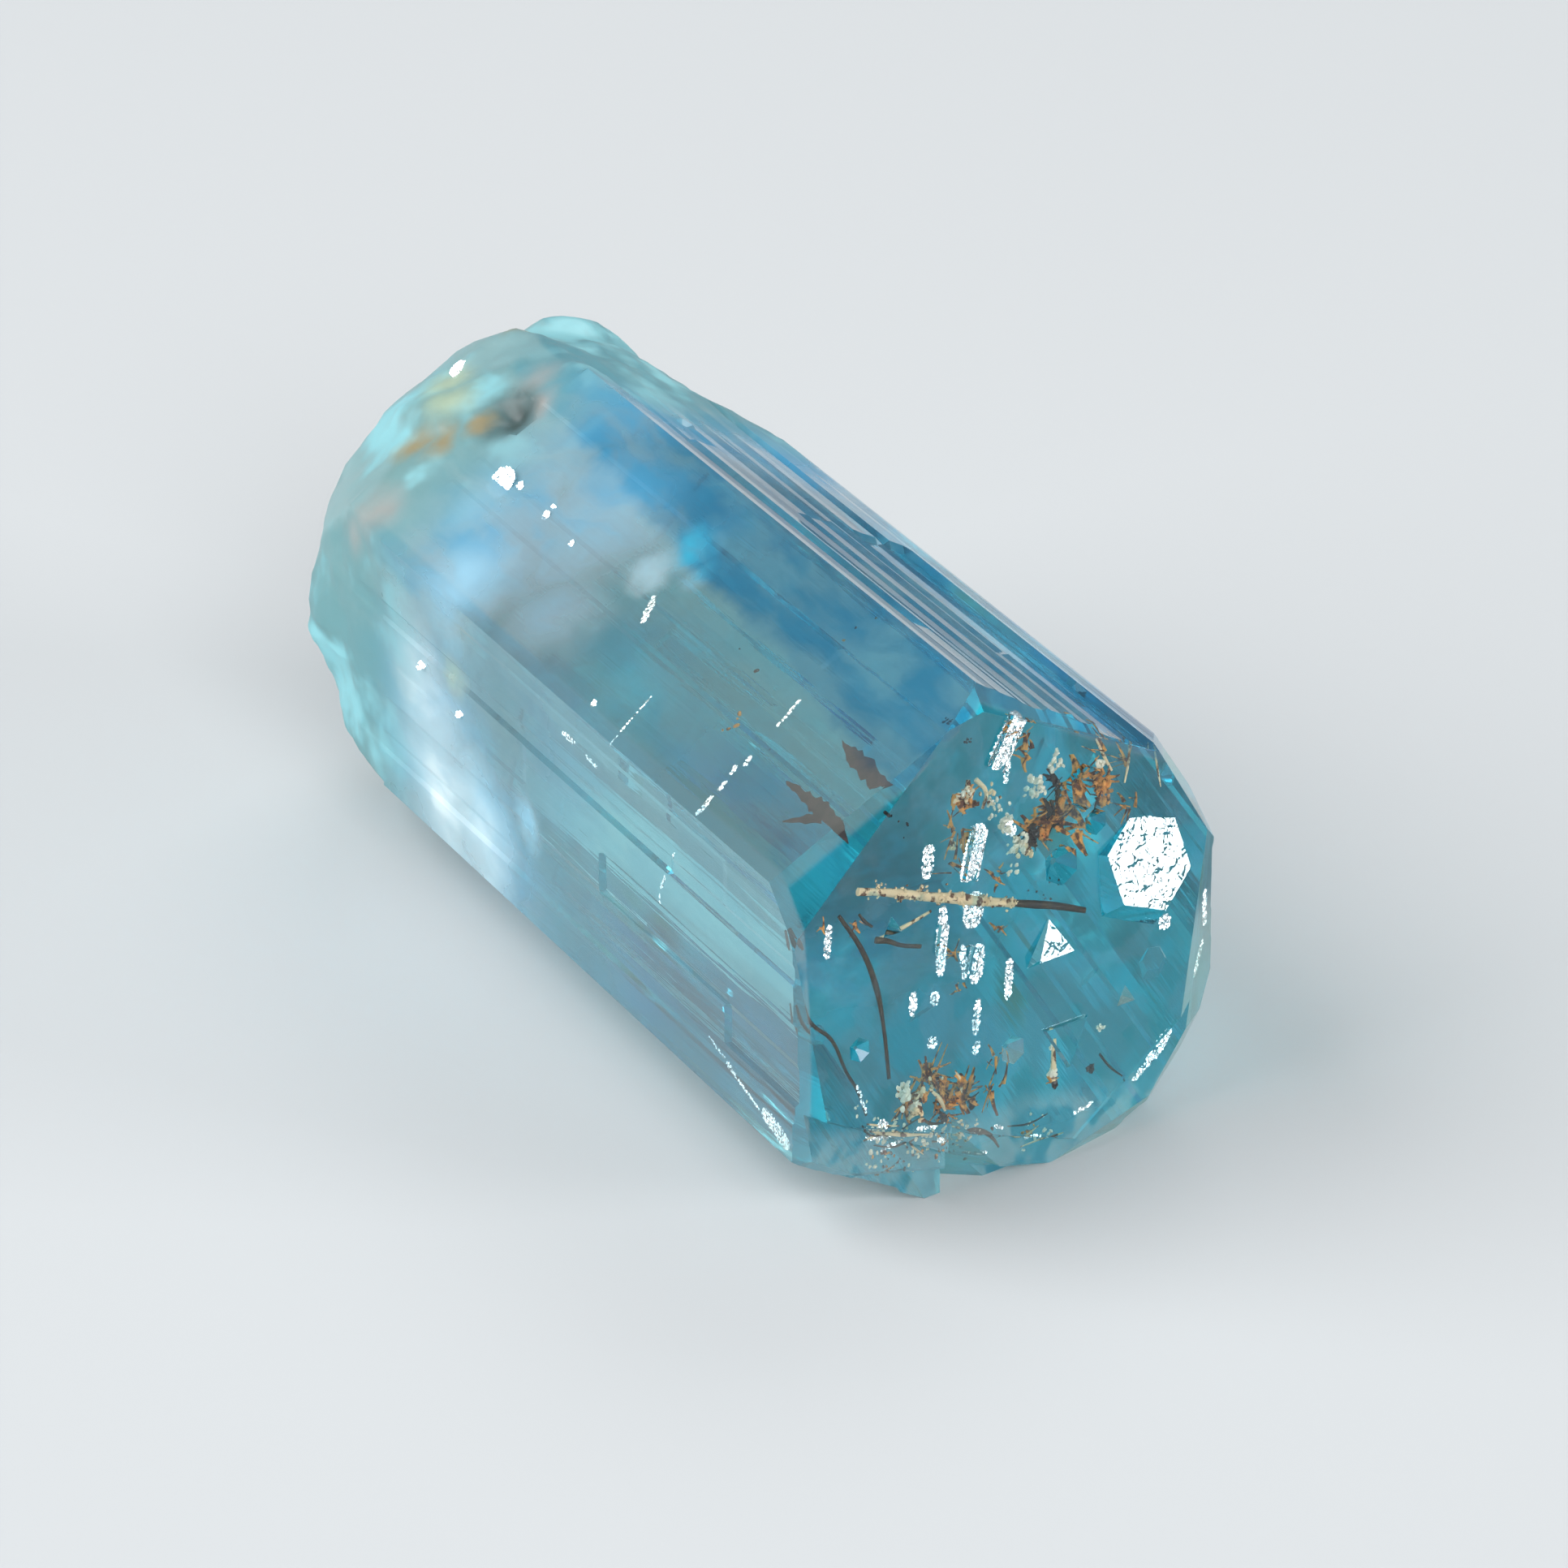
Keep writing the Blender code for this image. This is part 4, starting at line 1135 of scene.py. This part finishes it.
BLACK_HEAPS = (
    (-1.40, -2.40, 0.2, 0.05, 5, 0.060), (-0.80, -2.35, 0.3, 0.05, 6, 0.060),
    (1.70, -2.50, 0.2, 0.05, 8, 0.070), (0.92, -2.55, 0.2, 0.04, 5, 0.080),
    (0.70, 2.05, 0.5, 0.10, 8, 0.070), (-2.00, -2.00, 0.3, 0.04, 3, 0.050),
    (1.30, 2.75, 0.6, 0.06, 5, 0.055), (-0.45, 4.05, 0.6, 0.08, 6, 0.035),
    (-2.85, -2.15, 0.1, 0.10, 4, 0.035), (0.95, 1.00, 0.3, 0.20, 8, 0.030),
    (-0.60, -2.90, 0.1, 0.06, 5, 0.050), (-2.20, -2.90, 0.1, 0.06, 4, 0.035),
    (-2.30, -2.70, 0.1, 0.35, 14, 0.042), (-1.20, -3.00, 0.1, 0.40, 16, 0.042),
    (-0.30, -3.10, 0.1, 0.20, 6, 0.040),
)
# Specks under the front face: x, along, depth, size.
FRONT_SPECKS = (
    (1.05, 0.15, 0.3, 0.060), (5.90, -0.25, 0.4, 0.055), (6.02, -0.22, 0.4, 0.035),
    (6.45, -0.15, 0.4, 0.045), (0.30, 0.25, 0.5, 0.030), (6.20, -0.20, 0.5, 0.030),
    (6.60, -0.35, 0.5, 0.030), (2.90, -0.75, 0.3, 0.030),
)
FRONT_RUST = (
    (1.65, -0.60, 0.3, 0.070), (1.72, -0.70, 0.3, 0.060), (1.85, -0.80, 0.3, 0.070),
    (1.78, -0.92, 0.3, 0.055), (1.70, -1.00, 0.3, 0.050), (1.95, 1.50, 0.3, 0.040),
    (1.90, 1.80, 0.3, 0.045), (2.05, 2.15, 0.3, 0.040),
)


def lump():
    """A low ico sphere of unit radius with its corners shaken."""
    deselect()
    bpy.ops.mesh.primitive_ico_sphere_add(subdivisions=1, radius=1.0)
    model = bpy.context.object
    bpy.ops.object.mode_set(mode="EDIT")
    bpy.ops.mesh.select_all(action="SELECT")
    bpy.ops.transform.vertex_random(offset=0.35, seed=4)
    bpy.ops.object.mode_set(mode="OBJECT")
    return model


def grain_at(point, size):
    """The place of one grain, turned at random and a little flattened."""
    turn = Euler([rng.uniform(0, math.tau) for _ in range(3)])
    size *= rng.uniform(0.6, 1.3)
    return Matrix.LocRotScale(point, turn, Vector((mm(size), mm(size * 0.8), mm(size * 0.6))))


def heap_places(heaps):
    """Places of the grains of several heaps."""
    laid = []
    for y, z, depth, spread, grains, size in heaps:
        for _ in range(grains):
            shift = Vector([rng.gauss(0.0, 0.6) for _ in range(3)]) * mm(spread)
            laid.append(grain_at(settled(under_end(y, z, depth), END_SIGHT) + shift, size))
    return [place_of for place_of in laid if inside(place_of.translation, 0.05)]


rng = random.Random(19)
lump_model = lump()
clay, _ = new_material("white_clay_crumb", {"Base Color": srgb("#fff4de"), "Roughness": 0.9})
black, _ = new_material("black_schorl_grain", {"Base Color": srgb("#141313"), "Roughness": 0.35})
joined_copies("white_crumbs", lump_model, heap_places(WHITE_HEAPS), clay)
joined_copies("tan_fluff", lump_model, heap_places(TAN_HEAPS), tan)
orange_places = heap_places(ORANGE_HEAPS)
for x, along, depth, size in FRONT_RUST:
    orange_places.append(grain_at(under_side(FRONT, x, along, depth), size))
joined_copies("orange_lumps", lump_model, orange_places, rust)
black_places = heap_places(BLACK_HEAPS)
for x, along, depth, size in FRONT_SPECKS:
    black_places.append(grain_at(under_side(FRONT, x, along, depth), size))
joined_copies("black_grains", lump_model, black_places, black)
remove(lump_model)

# %% [markdown]
# The dark flakes are thin, ragged sheets of mica. Each is a grid whose rows are moved to
# the flake's outline, with its edges made uneven, and Solidify gives it its thickness.

# %% Dark mica flakes
# Rows of each flake under the front face: (x, along) of one edge, then of the other.
FLAKES = (
    (((3.79, -0.95), (3.92, -1.01)), ((4.15, -0.87), (4.28, -1.02)), ((4.54, -0.84), (4.68, -1.07)),
     ((4.95, -0.80), (5.07, -1.08)), ((5.45, -0.84), (5.54, -1.06)), ((6.00, -1.05), (6.02, -1.07))),
    (((4.55, -1.50), (4.57, -1.52)), ((4.78, -1.22), (4.88, -1.34)), ((5.05, -0.98), (5.26, -1.12))),
    (((3.93, 0.18), (4.07, 0.10)), ((4.31, 0.21), (4.49, -0.05)), ((4.69, 0.26), (4.91, -0.10)),
     ((5.11, 0.21), (5.34, -0.11)), ((5.61, 0.15), (5.53, 0.01))),
)
FLAKE_DEPTH = 0.12
FLAKE_THICK = 0.02


def sheet_through(rows, thickness, ragged):
    """A thin closed sheet through rows of two edge points, with uneven edges."""
    deselect()
    steps = (len(rows) - 1) * 4
    bpy.ops.mesh.primitive_grid_add(x_subdivisions=steps, y_subdivisions=4, size=1.0)
    sheet = bpy.context.object
    for vertex in sheet.data.vertices:
        share = min((vertex.co.x + 0.5) * (len(rows) - 1), len(rows) - 1.001)
        row, part = int(share), share - int(share)
        edges = [rows[row][side].lerp(rows[row + 1][side], part) for side in (0, 1)]
        uneven = 1.0 + rng.uniform(-ragged, ragged)
        vertex.co = edges[0].lerp(edges[1], vertex.co.y * uneven + 0.5)
    wall = sheet.modifiers.new("wall", "SOLIDIFY")
    wall.thickness = mm(thickness)
    wall.offset = 0.0
    bpy.ops.object.modifier_apply(modifier=wall.name)
    return sheet


rng = random.Random(3)
made = []
for rows in FLAKES:
    placed = [[under_side(FRONT, *edge, FLAKE_DEPTH) for edge in row] for row in rows]
    made.append(sheet_through(placed, FLAKE_THICK, 0.35))
mica, shader = new_material("brown_mica_flake", {"Roughness": 0.4})
mixed_colour(mica, shader, 0.20, "#0c070a", "#2e1a1e")
joined("mica_flakes", made, mica)

# %% [markdown]
# The lesson ends by bringing the scene up to date. The dressed crystal has to fill the same box as the
# solid that it dresses.

# %% The end
bpy.context.view_layer.update()
